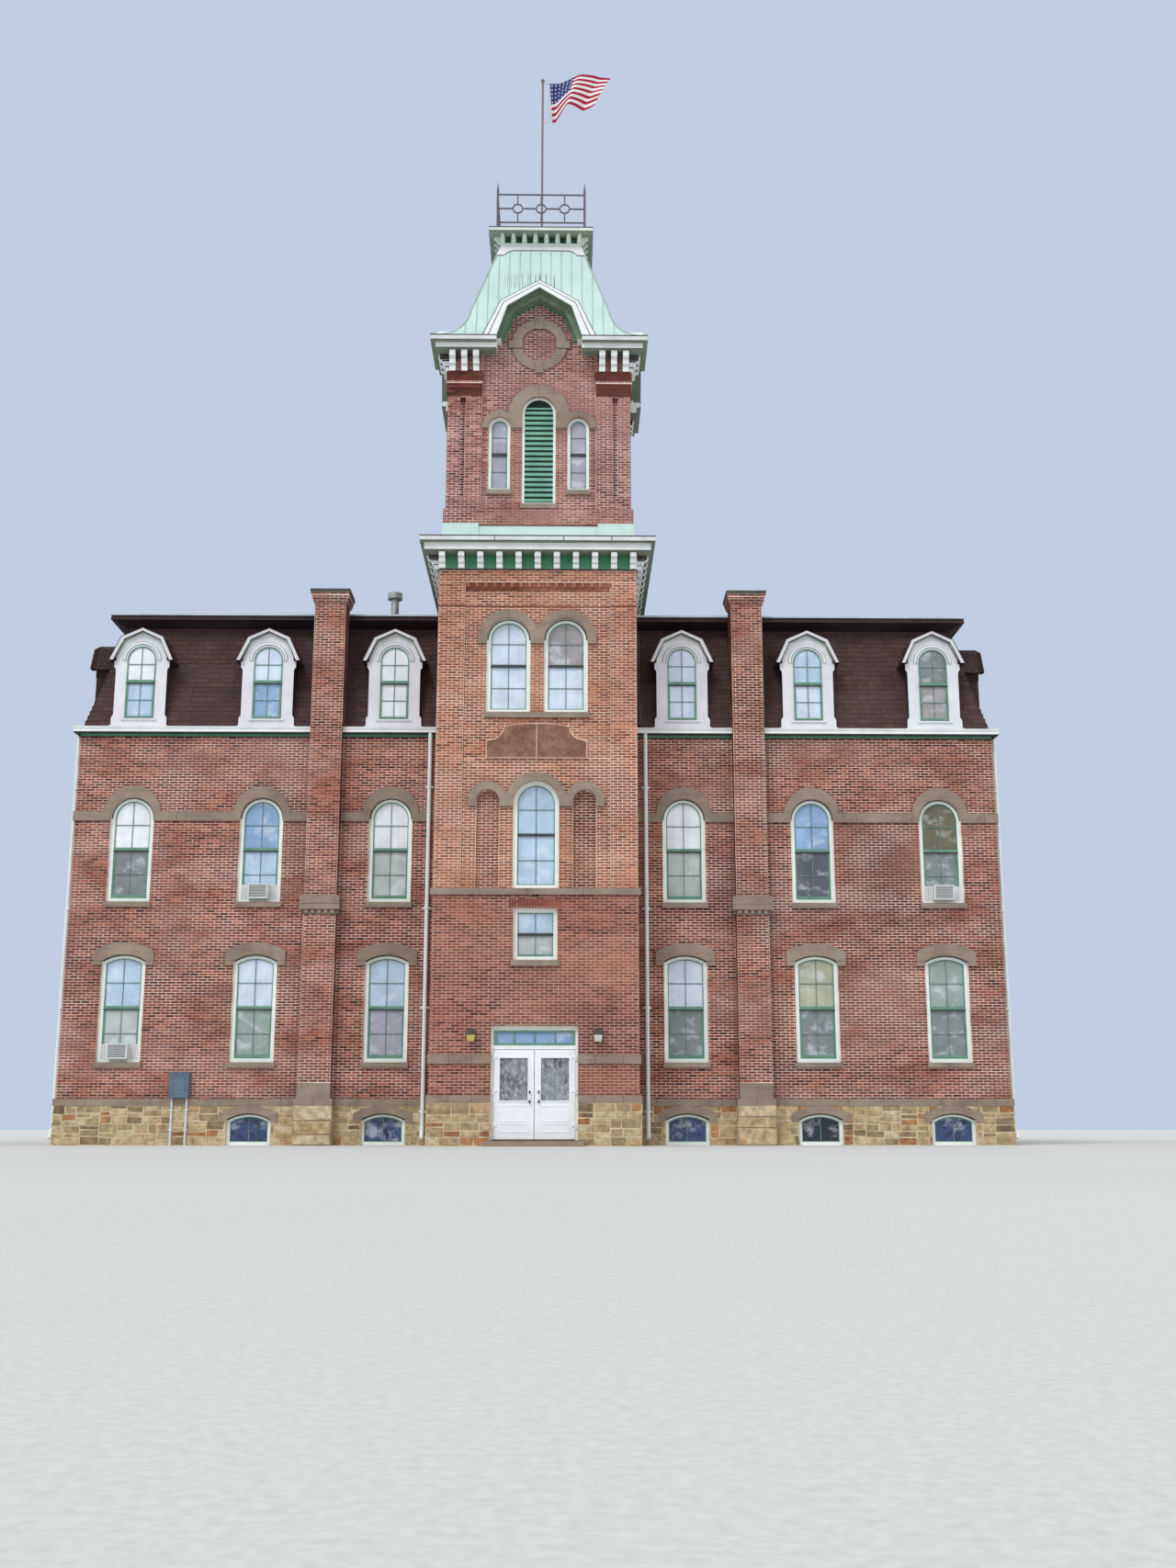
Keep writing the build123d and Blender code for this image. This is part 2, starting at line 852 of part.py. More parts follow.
def belfry_wall_part(quarters, half):
    """Walls of the belfry on some faces, each with its gable, louvre and side lights."""
    with BuildPart() as walls:
        for quarter in quarters:
            face = belfry_faces[quarter]
            with BuildSketch(face):
                add(rectangle_face(-half, half, cornice_top, belfry_cornice_bottom))
                with BuildLine():
                    Polyline(
                        (-verge_foot_half, belfry_cornice_bottom),
                        (-verge_foot_half, belfry_cornice_top),
                        (-gable_foot_half, belfry_cornice_top),
                        (-gable_knee_half, gable_knee),
                        (0, gable_apex),
                        (gable_knee_half, gable_knee),
                        (gable_foot_half, belfry_cornice_top),
                        (verge_foot_half, belfry_cornice_top),
                        (verge_foot_half, belfry_cornice_bottom),
                        close=True,
                    )
                make_face()
                for window in (louvre_window, *side_lights):
                    add(window_face(window), mode=Mode.SUBTRACT)
            extrude(amount=-belfry_wall)
            recess = belfry_half - belfry_pilaster
            with BuildSketch(face):
                add(rectangle_face(-recess, recess, belfry_recess_bottom, gable_apex))
            extrude(amount=-belfry_recess, mode=Mode.SUBTRACT)
    return walls


belfry_front_wall = belfry_wall_part([0], belfry_half)
save(belfry_front_wall, "belfry_front_wall")
belfry_back_wall = belfry_wall_part([2], belfry_half)
save(belfry_back_wall, "belfry_back_wall")
belfry_side_walls = belfry_wall_part([1, 3], belfry_inside)
save(belfry_side_walls, "belfry_side_walls")

# Steep metal flashing round the belfry's foot, and the projecting brick base course over it
with BuildPart() as belfry_flashing:
    with BuildSketch(Plane.XY.offset(cornice_top)):
        with Locations((0, tower_y)):
            Rectangle(belfry_size + 2 * flashing_reach, belfry_size + 2 * flashing_reach)
    with BuildSketch(Plane.XY.offset(flashing_top)):
        with Locations((0, tower_y)):
            Rectangle(belfry_size + 2 * belfry_base_proud, belfry_size + 2 * belfry_base_proud)
    loft()
    with Locations((0, tower_y, (cornice_top + flashing_top) / 2)):
        Box(belfry_size, belfry_size, flashing_top - cornice_top, mode=Mode.SUBTRACT)
save(belfry_flashing, "belfry_flashing")

with BuildPart() as belfry_base_course:
    with BuildSketch(Plane.XY.offset(flashing_top)):
        with Locations((0, tower_y)):
            Rectangle(belfry_size + 2 * belfry_base_proud, belfry_size + 2 * belfry_base_proud)
            Rectangle(belfry_size, belfry_size, mode=Mode.SUBTRACT)
    extrude(amount=belfry_base_top - flashing_top)
save(belfry_base_course, "belfry_base_course")

# Stone hoods, sills and round medallions of the belfry
with BuildPart() as belfry_stonework:
    for face in belfry_faces:
        with BuildSketch(face.offset(-belfry_recess)):
            add(hood_face(louvre_window, louvre_hood_crown, louvre_hood_side, belfry_hood_bottom))
            for light in side_lights:
                add(hood_face(light, light_hood_border, light_hood_border, belfry_hood_bottom))
            for window in (louvre_window, *side_lights):
                add(window_face(window), mode=Mode.SUBTRACT)
            for window in (louvre_window, *side_lights):
                add(sill_face(window))
        extrude(amount=belfry_recess + belfry_stone_proud)
        with BuildSketch(face.offset(-belfry_recess)):
            with Locations((0, medallion_z)):
                Circle(medallion_outer)
                Circle(medallion_inner, mode=Mode.SUBTRACT)
        extrude(amount=belfry_stone_proud)
        with BuildSketch(face.offset(-belfry_recess)):
            with Locations((0, medallion_z)):
                with PolarLocations((keystone_inner + keystone_outer) / 2, 4):
                    Rectangle(keystone_outer - keystone_inner, keystone_width)
        extrude(amount=belfry_recess + belfry_stone_proud / 2)
save(belfry_stonework, "belfry_stonework")

# Cornices at the belfry's corners, joined by the gable hoods
cornice_half = belfry_half + belfry_cornice_reach


def corner_slabs(reach, bottom, top):
    """Square slabs over the belfry's four corners, from the gables' feet outwards."""
    outer = belfry_half + reach
    with BuildPart() as slabs:
        with BuildSketch(Plane.XY.offset(bottom)):
            with Locations((0, tower_y)):
                with GridLocations(outer + verge_foot_half, outer + verge_foot_half, 2, 2):
                    Rectangle(outer - verge_foot_half, outer - verge_foot_half)
        extrude(amount=top - bottom)
    return slabs.part


def gable_points(foot_half, knee_half, knee, apex):
    """Five corners of a gable's outline, from its right foot over its apex to its left foot."""
    return [
        (foot_half, belfry_cornice_top),
        (knee_half, knee),
        (0, apex),
        (-knee_half, knee),
        (-foot_half, belfry_cornice_top),
    ]


def gable_band(outer, inner):
    """Face between two gable outlines."""
    with BuildSketch() as face:
        with BuildLine():
            Polyline(*outer, *reversed(inner), close=True)
        make_face()
    return face.sketch


hood_outline = gable_points(hood_foot_half, hood_knee_half, hood_knee, hood_apex)
verge_outline = gable_points(verge_foot_half, verge_knee_half, verge_knee, verge_apex)
gable_outline = gable_points(gable_foot_half, gable_knee_half, gable_knee, gable_apex)

with BuildPart() as belfry_cornice:
    add(corner_slabs(belfry_fascia_reach, belfry_cornice_bottom, belfry_fascia_top))
    add(corner_slabs(belfry_cornice_reach, belfry_fascia_top, belfry_cornice_top))
    for quarter in range(4):
        with BuildSketch(turned_plane(quarter, cornice_half)):
            add(gable_band(hood_outline, verge_outline))
        extrude(amount=-belfry_cornice_reach - hood_back)
        with BuildSketch(turned_plane(quarter, belfry_half + verge_reach)):
            add(gable_band(verge_outline, gable_outline))
        extrude(amount=-verge_reach - hood_back)
        outermost = belfry_half - bracket_margin - bracket_width / 2
        places = [outermost - belfry_bracket_spacing * n for n in range(belfry_bracket_count)]
        add(bracket_row(belfry_faces[quarter], places + [-u for u in places], bracket_width,
                        belfry_bracket_reach, belfry_bracket_bottom, belfry_cornice_bottom))
save(belfry_cornice, "belfry_cornice")

# Louvres: level slats across each belfry opening
slat_pitch = (louvre_head - louvre_sill - 2 * louvre_border) / louvre_count
slat_depth = 60
slat_share = 0.55

with BuildPart() as belfry_louvres:
    for face in belfry_faces:
        with BuildSketch(face.offset(-belfry_recess - belfry_frame_setback)):
            with Locations((0, (louvre_sill + louvre_head) / 2)):
                with GridLocations(1, slat_pitch, 1, louvre_count):
                    Rectangle(louvre_width, slat_pitch * slat_share)
            add(window_face(louvre_window, louvre_border), mode=Mode.INTERSECT)
        extrude(amount=-slat_depth)
save(belfry_louvres, "belfry_louvres")

# Tower roof: a flared hip with a cross gable behind each gable hood
gable_start = cornice_half - belfry_cornice_reach - hood_back


def flared_roof(inset, quarter):
    """Sketch of the flared roof's profile across one direction, less an inset."""
    with BuildSketch(turned_plane(quarter, 0)) as profile:
        with BuildLine():
            Line((-cornice_half + inset, belfry_cornice_top), (cornice_half - inset, belfry_cornice_top))
            ThreePointArc(
                (cornice_half - inset, belfry_cornice_top),
                (roof_flare_half - inset, roof_flare_z),
                (roof_hip_half - inset, roof_hip_z),
            )
            Line((roof_hip_half - inset, roof_hip_z), (roof_top_half - inset, roof_top))
            Line((roof_top_half - inset, roof_top), (-roof_top_half + inset, roof_top))
            Line((-roof_top_half + inset, roof_top), (-roof_hip_half + inset, roof_hip_z))
            ThreePointArc(
                (-roof_hip_half + inset, roof_hip_z),
                (-roof_flare_half + inset, roof_flare_z),
                (-cornice_half + inset, belfry_cornice_top),
            )
        make_face()
    return profile.sketch


def flared_solid(inset):
    with BuildPart() as solid:
        extrude(flared_roof(inset, 0), amount=cornice_half, both=True)
        extrude(flared_roof(inset, 1), amount=cornice_half, both=True, mode=Mode.INTERSECT)
    return solid.part


def gable_prism(quarter, outline):
    """Five-sided prism from behind a gable hood to the tower's axis."""
    with BuildPart() as prism:
        with BuildSketch(turned_plane(quarter, gable_start)):
            with BuildLine():
                Polyline(*outline, close=True)
            make_face()
        extrude(amount=-gable_start)
    return prism.part


with BuildPart() as tower_roof:
    add(flared_solid(0))
    for quarter in range(4):
        add(gable_prism(quarter, hood_outline))
    for quarter in range(4):
        face = belfry_faces[quarter].offset(belfry_cornice_reach)
        with BuildSketch(face):
            add(rectangle_face(-hood_foot_half, hood_foot_half, belfry_cornice_top - 1, hood_apex + 1))
        extrude(amount=-belfry_cornice_reach - hood_back, mode=Mode.SUBTRACT)
    add(flared_solid(roof_shell), mode=Mode.SUBTRACT)
    for quarter in range(4):
        add(gable_prism(quarter, gable_outline), mode=Mode.SUBTRACT)
save(tower_roof, "tower_roof")

# Cornice and deck on top of the tower roof
with BuildPart() as roof_deck_cornice:
    square_slab(roof_top_half, roof_top, deck_frieze_top)
    square_slab(deck_cornice_half, deck_frieze_top, deck_cornice_top)
    outermost = roof_top_half - bracket_margin - deck_bracket_width / 2
    deck_spacing = 2 * outermost / (deck_bracket_count - 1)
    deck_places = [outermost - deck_spacing * n for n in range(deck_bracket_count)]
    for quarter in range(4):
        add(bracket_row(turned_plane(quarter, roof_top_half), deck_places, deck_bracket_width,
                        deck_bracket_reach, deck_bracket_bottom, deck_frieze_top))
save(roof_deck_cornice, "roof_deck_cornice")

# Iron railing round the deck
with BuildPart() as deck_railing:
    with Locations((0, tower_y, deck_cornice_top)):
        with GridLocations(2 * railing_half, 2 * railing_half, 2, 2):
            Box(railing_post, railing_post, railing_post_top - deck_cornice_top,
                align=(Align.CENTER, Align.CENTER, Align.MIN))
    with Locations((0, tower_y, railing_post_top)):
        with GridLocations(2 * railing_half, 2 * railing_half, 2, 2):
            Cone(railing_post / 2, spear_tip, spear_top - railing_post_top,
                 align=(Align.CENTER, Align.CENTER, Align.MIN))
    for quarter in range(4):
        middle = railing_levels[1]
        with BuildSketch(turned_plane(quarter, railing_half + railing_rail / 2)):
            for level in railing_levels:
                add(rectangle_face(-railing_half, railing_half, level - railing_rail / 2,
                                   level + railing_rail / 2))
            for n in (-1, 0, 1):
                u = n * railing_ring_spacing
                add(rectangle_face(u - railing_rail / 2, u + railing_rail / 2,
                                   railing_levels[0], railing_levels[2]))
            with Locations(*[(n * railing_ring_spacing, middle) for n in (-1, 0, 1)]):
                Circle(railing_ring_radius + railing_rail / 2)
                Circle(railing_ring_radius - railing_rail / 2, mode=Mode.SUBTRACT)
        extrude(amount=-railing_rail)
save(deck_railing, "deck_railing")

# Flagpole with its ball
with BuildPart() as flagpole:
    with Locations((0, tower_y, deck_cornice_top)):
        Cylinder(pole_radius, pole_top - deck_cornice_top,
                 align=(Align.CENTER, Align.CENTER, Align.MIN))
    with Locations((0, tower_y, pole_top)):
        Sphere(truck_radius)
save(flagpole, "flagpole")

# Halyard that ties the flag's hoist to the pole
with BuildPart() as halyard:
    flag_top = flag_bottom + flag_hoist
    reach = flag_gap
    with Locations((reach, tower_y, flag_bottom)):
        Cylinder(halyard_radius, flag_hoist, align=(Align.CENTER, Align.CENTER, Align.MIN))
    for level in (flag_bottom, flag_top):
        with BuildSketch(Plane.YZ.offset(pole_radius)):
            with Locations((tower_y, level)):
                Circle(halyard_radius)
        extrude(amount=reach - pole_radius)
save(halyard, "halyard")

# Flag, a waving sheet
with BuildPart() as flag:
    start = reach + halyard_radius
    waves = (0, 1, 0, -1, 0)
    points = [(start + flag_fly * n / (len(waves) - 1), flag_wave * wave) for n, wave in enumerate(waves)]
    with BuildSketch(Plane.XY.offset(flag_bottom)):
        with BuildLine():
            Spline(*[(x, tower_y + y - flag_thickness / 2) for x, y in points])
            Line((points[-1][0], tower_y - flag_thickness / 2), (points[-1][0], tower_y + flag_thickness / 2))
            Spline(*[(x, tower_y + y + flag_thickness / 2) for x, y in reversed(points)])
            Line((points[0][0], tower_y + flag_thickness / 2), (points[0][0], tower_y - flag_thickness / 2))
        make_face()
    extrude(amount=flag_hoist)
save(flag, "flag")

# Chimneys: a pier against the front wall that rises through the roof as a stack with a corbelled top
pier_front = front_y - pier_projection
pier_back = front_y + wall
flue_middle = (pier_front + pier_back) / 2
corbel_height = (stack_top - corbel_bottom) / len(corbel_reaches)


def pier_box(x, half, reach, y1, z0, z1, mode=Mode.ADD):
    """Box about a chimney's middle, from a reach in front of its pier back to y1."""
    box(x - half, x + half, pier_front - reach, y1, z0, z1, mode)


def flue(x, z0, z1):
    box(x - flue_width / 2, x + flue_width / 2, flue_middle - flue_depth / 2, flue_middle + flue_depth / 2,
        z0, z1, mode=Mode.SUBTRACT)


with BuildPart() as chimneys:
    for x in (-chimney_x, chimney_x):
        half = pier_width / 2
        pier_box(x, half, 0, front_y, pier_block_top, band_bottom)
        pier_box(x, half, 0, front_y, band_top, stack_top)
        box(x - half, x + half, front_y, pier_back, wall_top, stack_top)
        for n, reach in enumerate(corbel_reaches):
            low = corbel_bottom + n * corbel_height
            pier_box(x, half + reach, reach, pier_back + reach, low, low + corbel_height)
        flue(x, mansard_top, stack_top)
save(chimneys, "chimneys")

with BuildPart() as chimney_stonework:
    for x in (-chimney_x, chimney_x):
        half = pier_width / 2
        pier_box(x, pier_base_width / 2, foundation_proud, front_y - foundation_proud, 0, foundation_top)
        pier_box(x, pier_base_width / 2, foundation_proud, front_y, foundation_top, pier_base_top)
        pier_box(x, half + pier_dressing, pier_dressing, front_y, pier_base_top, pier_block_top)
        pier_box(x, half, 0, front_y, band_bottom, band_bottom + dentil_height)
        pier_box(x, band_width / 2, band_reach, front_y, band_bottom + dentil_height, band_top)
        pier_box(x, half + cap_reach, cap_reach, pier_back + cap_reach, stack_top, cap_top)
        flue(x, stack_top, cap_top)
save(chimney_stonework, "chimney_stonework")

# Eaves: a frieze board and a box gutter along each wall
with BuildPart() as eaves:
    runs = [
        (front, tower_half, chimney_x - pier_width / 2),
        (front, -chimney_x + pier_width / 2, -tower_half),
        (front, chimney_x + pier_width / 2, half_width + eaves_reach),
        (front, -half_width - eaves_reach, -chimney_x - pier_width / 2),
        (back, -half_width - eaves_reach, half_width + eaves_reach),
        (left, -block_depth / 2 + mitre_seam, block_depth / 2 - mitre_seam),
        (right, -block_depth / 2 + mitre_seam, block_depth / 2 - mitre_seam),
    ]
    for plane, u0, u1 in runs:
        with BuildSketch(plane):
            add(rectangle_face(u0, u1, board_top, eaves_top))
        extrude(amount=eaves_reach)
        low0 = u0 if abs(u0) < half_width else u0 / abs(u0) * (half_width + board_proud)
        low1 = u1 if abs(u1) < half_width else u1 / abs(u1) * (half_width + board_proud)
        with BuildSketch(plane):
            add(rectangle_face(low0, low1, eaves_bottom, board_top))
        extrude(amount=board_proud)
save(eaves, "eaves")

# Dormers
slope = mansard_lean / mansard_height


def slope_plane(plane):
    """Outer face of the mansard on one side, looking outwards."""
    foot = plane.offset(-mansard_inset)
    origin = foot.from_local_coords(Vector(0, wall_top, 0))
    outward = plane.z_dir + Vector(0, 0, slope)
    return Plane(origin=origin, x_dir=plane.x_dir, z_dir=outward)


def dormer_outline(u, shrink, bottom):
    """Five-sided outline of a dormer's body, less a shrink on every side."""
    knee = dormer_knee_half - dormer_hood * dormer_hood_knee_share
    knee_level = dormer_knee - dormer_hood * dormer_hood_rise_share - shrink
    low = dormer_eaves + dormer_hood
    with BuildSketch() as face:
        with BuildLine():
            Polyline(
                (u - dormer_half + shrink, bottom),
                (u + dormer_half - shrink, bottom),
                (u + dormer_half - shrink, low - shrink / 2),
                (u + knee - shrink / 2, knee_level),
                (u, dormer_apex - dormer_hood - shrink),
                (u - knee + shrink / 2, knee_level),
                (u - dormer_half + shrink, low - shrink / 2),
                close=True,
            )
        make_face()
    return face.sketch


def dormer_hood_outline(u):
    """Five-sided hood of a dormer, less the body under it."""
    with BuildSketch() as face:
        with BuildLine():
            Polyline(
                (u - dormer_hood_half, dormer_eaves),
                (u - dormer_knee_half, dormer_knee),
                (u, dormer_apex),
                (u + dormer_knee_half, dormer_knee),
                (u + dormer_hood_half, dormer_eaves),
                (u + dormer_half, dormer_eaves),
                (u - dormer_half, dormer_eaves),
                close=True,
            )
        make_face()
        add(dormer_outline(u, 0, wall_top), mode=Mode.SUBTRACT)
    return face.sketch


def dormer_foot(u):
    """Flared foot of a dormer's front board."""
    with BuildSketch() as face:
        with BuildLine():
            Polyline(
                (u - dormer_foot_half, wall_top),
                (u + dormer_foot_half, wall_top),
                (u + dormer_foot_half, dormer_foot_top),
                (u + dormer_half, dormer_flare_top),
                (u - dormer_half, dormer_flare_top),
                (u - dormer_foot_half, dormer_foot_top),
                close=True,
            )
        make_face()
    return face.sketch


dormer_depth = mansard_inset + mansard_lean - dormer_inset + mansard_thickness

with BuildPart() as dormers:
    for plane, columns in dormer_rows:
        face = plane.offset(-dormer_inset)
        with BuildPart() as row:
            with BuildSketch(face):
                add([dormer_outline(u, 0, wall_top) for u in columns])
                add([dormer_foot(u) for u in columns])
                add([window_face(dormer_window(u)) for u in columns], mode=Mode.SUBTRACT)
            extrude(amount=-dormer_wall)
            with BuildSketch(face.offset(-dormer_wall)):
                add([dormer_outline(u, 0, wall_top) for u in columns])
                add([dormer_outline(u, dormer_wall, wall_top - 1) for u in columns], mode=Mode.SUBTRACT)
            extrude(amount=-dormer_depth)
            with BuildSketch(face.offset(dormer_hood_reach)):
                add([dormer_hood_outline(u) for u in columns])
            extrude(amount=-dormer_hood_reach - dormer_depth - dormer_wall)
            split(bisect_by=slope_plane(plane), keep=Keep.TOP)
        add(row.part)
save(dormers, "dormers")

# Mansard roof: five slopes, mitred at the corners with a narrow seam
mansard_in = mansard_inset + mansard_lean + mansard_thickness


def mansard_slope(plane, half_length, columns):
    """One slope of the mansard between the corners' mitres, open behind its dormers."""
    across = Plane(origin=plane.origin, x_dir=-plane.z_dir, z_dir=plane.x_dir)
    with BuildPart() as slope_part:
        with BuildSketch(across):
            with BuildLine():
                Polyline(
                    (mansard_inset, wall_top),
                    (mansard_inset + mansard_lean, mansard_top),
                    (mansard_in, mansard_top),
                    (mansard_inset + mansard_thickness, wall_top),
                    close=True,
                )
            make_face()
        extrude(amount=half_length, both=True)
        for end in (-1, 1):
            corner = plane.from_local_coords(Vector(end * (half_length - mitre_seam), 0, 0))
            split(bisect_by=Plane(origin=corner, z_dir=plane.x_dir * -end + plane.z_dir), keep=Keep.TOP)
        with BuildSketch(plane):
            for u in columns:
                add(dormer_outline(u, dormer_wall, slope_opening_bottom))
        extrude(amount=-mansard_in, mode=Mode.SUBTRACT)
    return slope_part.part


with BuildPart() as mansard_roof:
    half_depth = block_depth / 2
    add(mansard_slope(front, half_width, left_front + front_columns))
    box(-tower_half, tower_half, front_y, tower_back_y, wall_top, mansard_top, mode=Mode.SUBTRACT)
    for side in (-1, 1):
        x = side * chimney_x
        box(x - pier_width / 2, x + pier_width / 2, front_y, front_y + wall,
            wall_top, mansard_top, mode=Mode.SUBTRACT)
    add(mansard_slope(back, half_width, back_columns))
    add(mansard_slope(left, half_depth, side_columns))
    add(mansard_slope(right, half_depth, side_columns))
save(mansard_roof, "mansard_roof")

# Upper roof: a flat deck over a sloped soffit, notched round the tower
deck_half = half_width - deck_inset
deck_half_depth = block_depth / 2 - deck_inset

with BuildPart() as upper_roof:
    for half, half_depth, level in (
        (deck_half - deck_overhang, deck_half_depth - deck_overhang, mansard_top),
        (deck_half, deck_half_depth, deck_edge_bottom),
    ):
        with BuildSketch(Plane.XY.offset(level)):
            with Locations((0, middle_y)):
                Rectangle(2 * half, 2 * half_depth)
    loft()
    box(-deck_half, deck_half, middle_y - deck_half_depth, middle_y + deck_half_depth,
        deck_edge_bottom, deck_top)
    box(-tower_half, tower_half, front_y, tower_back_y, mansard_top, deck_top, mode=Mode.SUBTRACT)
save(upper_roof, "upper_roof")

# Roof vent
with BuildPart() as roof_vent:
    with Locations((vent_x, front_y + vent_back, deck_top)):
        Cylinder(vent_radius, vent_top - deck_top,
                 align=(Align.CENTER, Align.CENTER, Align.MIN))
    with Locations((vent_x, front_y + vent_back, vent_top - vent_cap_height)):
        Cylinder(vent_cap_radius, vent_cap_height, align=(Align.CENTER, Align.CENTER, Align.MIN))
save(roof_vent, "roof_vent")


def frames(plane, windows, border, depth, with_rails=True):
    """Window frames, with or without their meeting rails, from a plane inwards."""
    with BuildPart() as ring:
        with BuildSketch(plane):
            add([frame_outline(window, border) for window in windows])
        extrude(amount=-depth)
        if with_rails:
            with BuildSketch(plane):
                add([rail_face(window, border) for window in windows])
            extrude(amount=-rail_depth)
    return ring.part


def panes(plane, windows, border):
    """Panes of glass behind the meeting rails."""
    with BuildPart() as pane:
        with BuildSketch(plane.offset(-rail_depth)):
            add([window_face(window, border) for window in windows])
        extrude(amount=-glass)
    return pane.part


# Window frames of the main block, its basement and its dormers
rings = []
lights = []
for (plane, windows), (_, low), (_, high) in zip(facades, basements, dormer_rows):
    set_back = plane.offset(-frame_setback)
    low_windows = [basement_window(u) for u in low]
    high_windows = [dormer_window(u) for u in high]
    rings.append(frames(set_back, windows, frame_border, window_frame_depth))
    rings.append(frames(set_back, low_windows, basement_border, window_frame_depth, with_rails=False))
    rings.append(frames(plane.offset(-dormer_inset), high_windows, dormer_border, dormer_wall))
    lights.append(panes(set_back, windows, frame_border))
    lights.append(panes(set_back, low_windows, basement_border))
    lights.append(panes(plane.offset(-dormer_inset), high_windows, dormer_border))

with BuildPart() as window_frames:
    add(rings)
save(window_frames, "window_frames")

with BuildPart() as window_glass:
    add(lights)
save(window_glass, "window_glass")

# Window frames of the tower and the belfry
tower_windows = [stair_window, tower_window, *paired_windows]
tower_frame_plane = tower_front.offset(-panel_depth - frame_setback)
with BuildPart() as tower_window_frames:
    add(frames(tower_frame_plane, tower_windows, frame_border, window_frame_depth))
    for face in belfry_faces:
        set_back = face.offset(-belfry_recess - belfry_frame_setback)
        add(frames(set_back, side_lights, dormer_border, window_frame_depth))
        with BuildSketch(set_back):
            add(frame_outline(louvre_window, louvre_border))
        extrude(amount=-window_frame_depth)
save(tower_window_frames, "tower_window_frames")

with BuildPart() as tower_glass:
    add(panes(tower_frame_plane, tower_windows, frame_border))
    for face in belfry_faces:
        add(panes(face.offset(-belfry_recess - belfry_frame_setback), side_lights, dormer_border))
save(tower_glass, "tower_glass")

# Door frame with its transom and the fixed halves of the hinges
door_plane = tower_front.offset(-door_reveal)
leaf_half = door_half - frame_face
hinge_y = door_y - hinge_offset
hinge_levels = [floor_at_door + height for height in hinge_heights]
leaf_bottom = floor_at_door + leaf_bottom_gap

with BuildPart() as door_frame:
    with BuildSketch(door_plane):
        add(rectangle_face(-door_half, door_half, floor_at_door, door_head))
        add(rectangle_face(-leaf_half, leaf_half, floor_at_door, transom_bottom - transom_bar),
            mode=Mode.SUBTRACT)
        add(rectangle_face(-leaf_half, leaf_half, transom_bottom, transom_top), mode=Mode.SUBTRACT)
    extrude(amount=-frame_depth)
    for side in (-1, 1):
        x = side * leaf_half
        for level in hinge_levels:
            box(x, x + side * hinge_plate_width, hinge_y - hinge_plate_half, door_y,
                level, level + knuckle_height)
            with Locations((x, hinge_y, level)):
                Cylinder(knuckle_radius, knuckle_height, align=(Align.CENTER, Align.CENTER, Align.MIN))
                Cylinder(pin_radius, 2 * knuckle_height, align=(Align.CENTER, Align.CENTER, Align.MIN))
save(door_frame, "door_frame")

with BuildPart() as transom_glass:
    with BuildSketch(door_plane.offset(-rail_depth)):
        add(rectangle_face(-leaf_half, leaf_half, transom_bottom, transom_top))
    extrude(amount=-glass)
save(transom_glass, "transom_glass")

# Door leaves, each with a glazed upper panel, a pull handle and its halves of the hinges
def door_leaf(side):
    hinge_x = side * leaf_half
    with BuildPart() as leaf:
        with BuildSketch(door_plane):
            add(rectangle_face(side * leaf_clearance, side * (leaf_half - leaf_clearance),
                               leaf_bottom, leaf_top))
            add(rectangle_face(side * light_inner, side * light_outer, light_bottom, light_top),
                mode=Mode.SUBTRACT)
        extrude(amount=-leaf_thickness)
        for level in hinge_levels:
            bottom = level + knuckle_height + knuckle_gap
            with Locations((hinge_x, hinge_y, bottom)):
                Cylinder(knuckle_radius, knuckle_height, align=(Align.CENTER, Align.CENTER, Align.MIN))
            box(hinge_x - side * leaf_plate_width, hinge_x - side * leaf_plate_gap,
                hinge_y - leaf_plate_half, door_y, bottom, bottom + knuckle_height)
            with Locations((hinge_x, hinge_y, bottom)):
                Cylinder(pin_radius + pin_clearance, knuckle_height,
                         align=(Align.CENTER, Align.CENTER, Align.MIN), mode=Mode.SUBTRACT)
        with Locations((side * handle_x, door_y - handle_reach, handle_bottom)):
            Cylinder(handle_radius, handle_height, align=(Align.CENTER, Align.CENTER, Align.MIN))
        for level in (handle_bottom + handle_stem_end, handle_bottom + handle_height - handle_stem_end):
            with BuildSketch(door_plane):
                with Locations((side * handle_x, level)):
                    Circle(handle_stem_radius)
            extrude(amount=handle_reach)
    return leaf


def leaf_glass(side):
    with BuildPart() as pane:
        with BuildSketch(door_plane.offset(-leaf_thickness / 2 + glass / 2)):
            add(rectangle_face(side * light_inner, side * light_outer, light_bottom, light_top))
        extrude(amount=-glass)
    return pane


left_door = door_leaf(-1)
save(left_door, "left_door")
left_door_glass = leaf_glass(-1)
save(left_door_glass, "left_door_glass")
right_door = door_leaf(1)
save(right_door, "right_door")
right_door_glass = leaf_glass(1)
save(right_door_glass, "right_door_glass")

# Low stone step at the doorway
with BuildPart() as door_step:
    box(-step_width / 2, step_width / 2, tower_front_y - tower_base_proud - step_reach,
        tower_front_y - tower_base_proud, 0, floor_at_door - step_drop)
save(door_step, "door_step")

# Wall lamps beside the door: a lens that widens upwards under a square cap, on a short stem
with BuildPart() as wall_lamps:
    for side in (-1, 1):
        x = side * lamp_x
        y = tower_front_y - lamp_reach
        for level, width in ((0, lamp_lens_width), (lamp_lens_height, lamp_width)):
            with BuildSketch(Plane.XY.offset(lamp_bottom + level)):
                with Locations((x, y)):
                    Rectangle(width, width)
        loft()
        box(x - lamp_width / 2, x + lamp_width / 2, y - lamp_width / 2, y + lamp_width / 2,
            lamp_bottom + lamp_lens_height, lamp_bottom + lamp_height)
        box(x - lamp_stem_half, x + lamp_stem_half, y, tower_front_y,
            lamp_bottom + lamp_stem_bottom, lamp_bottom + lamp_stem_bottom + lamp_stem_height)
save(wall_lamps, "wall_lamps")

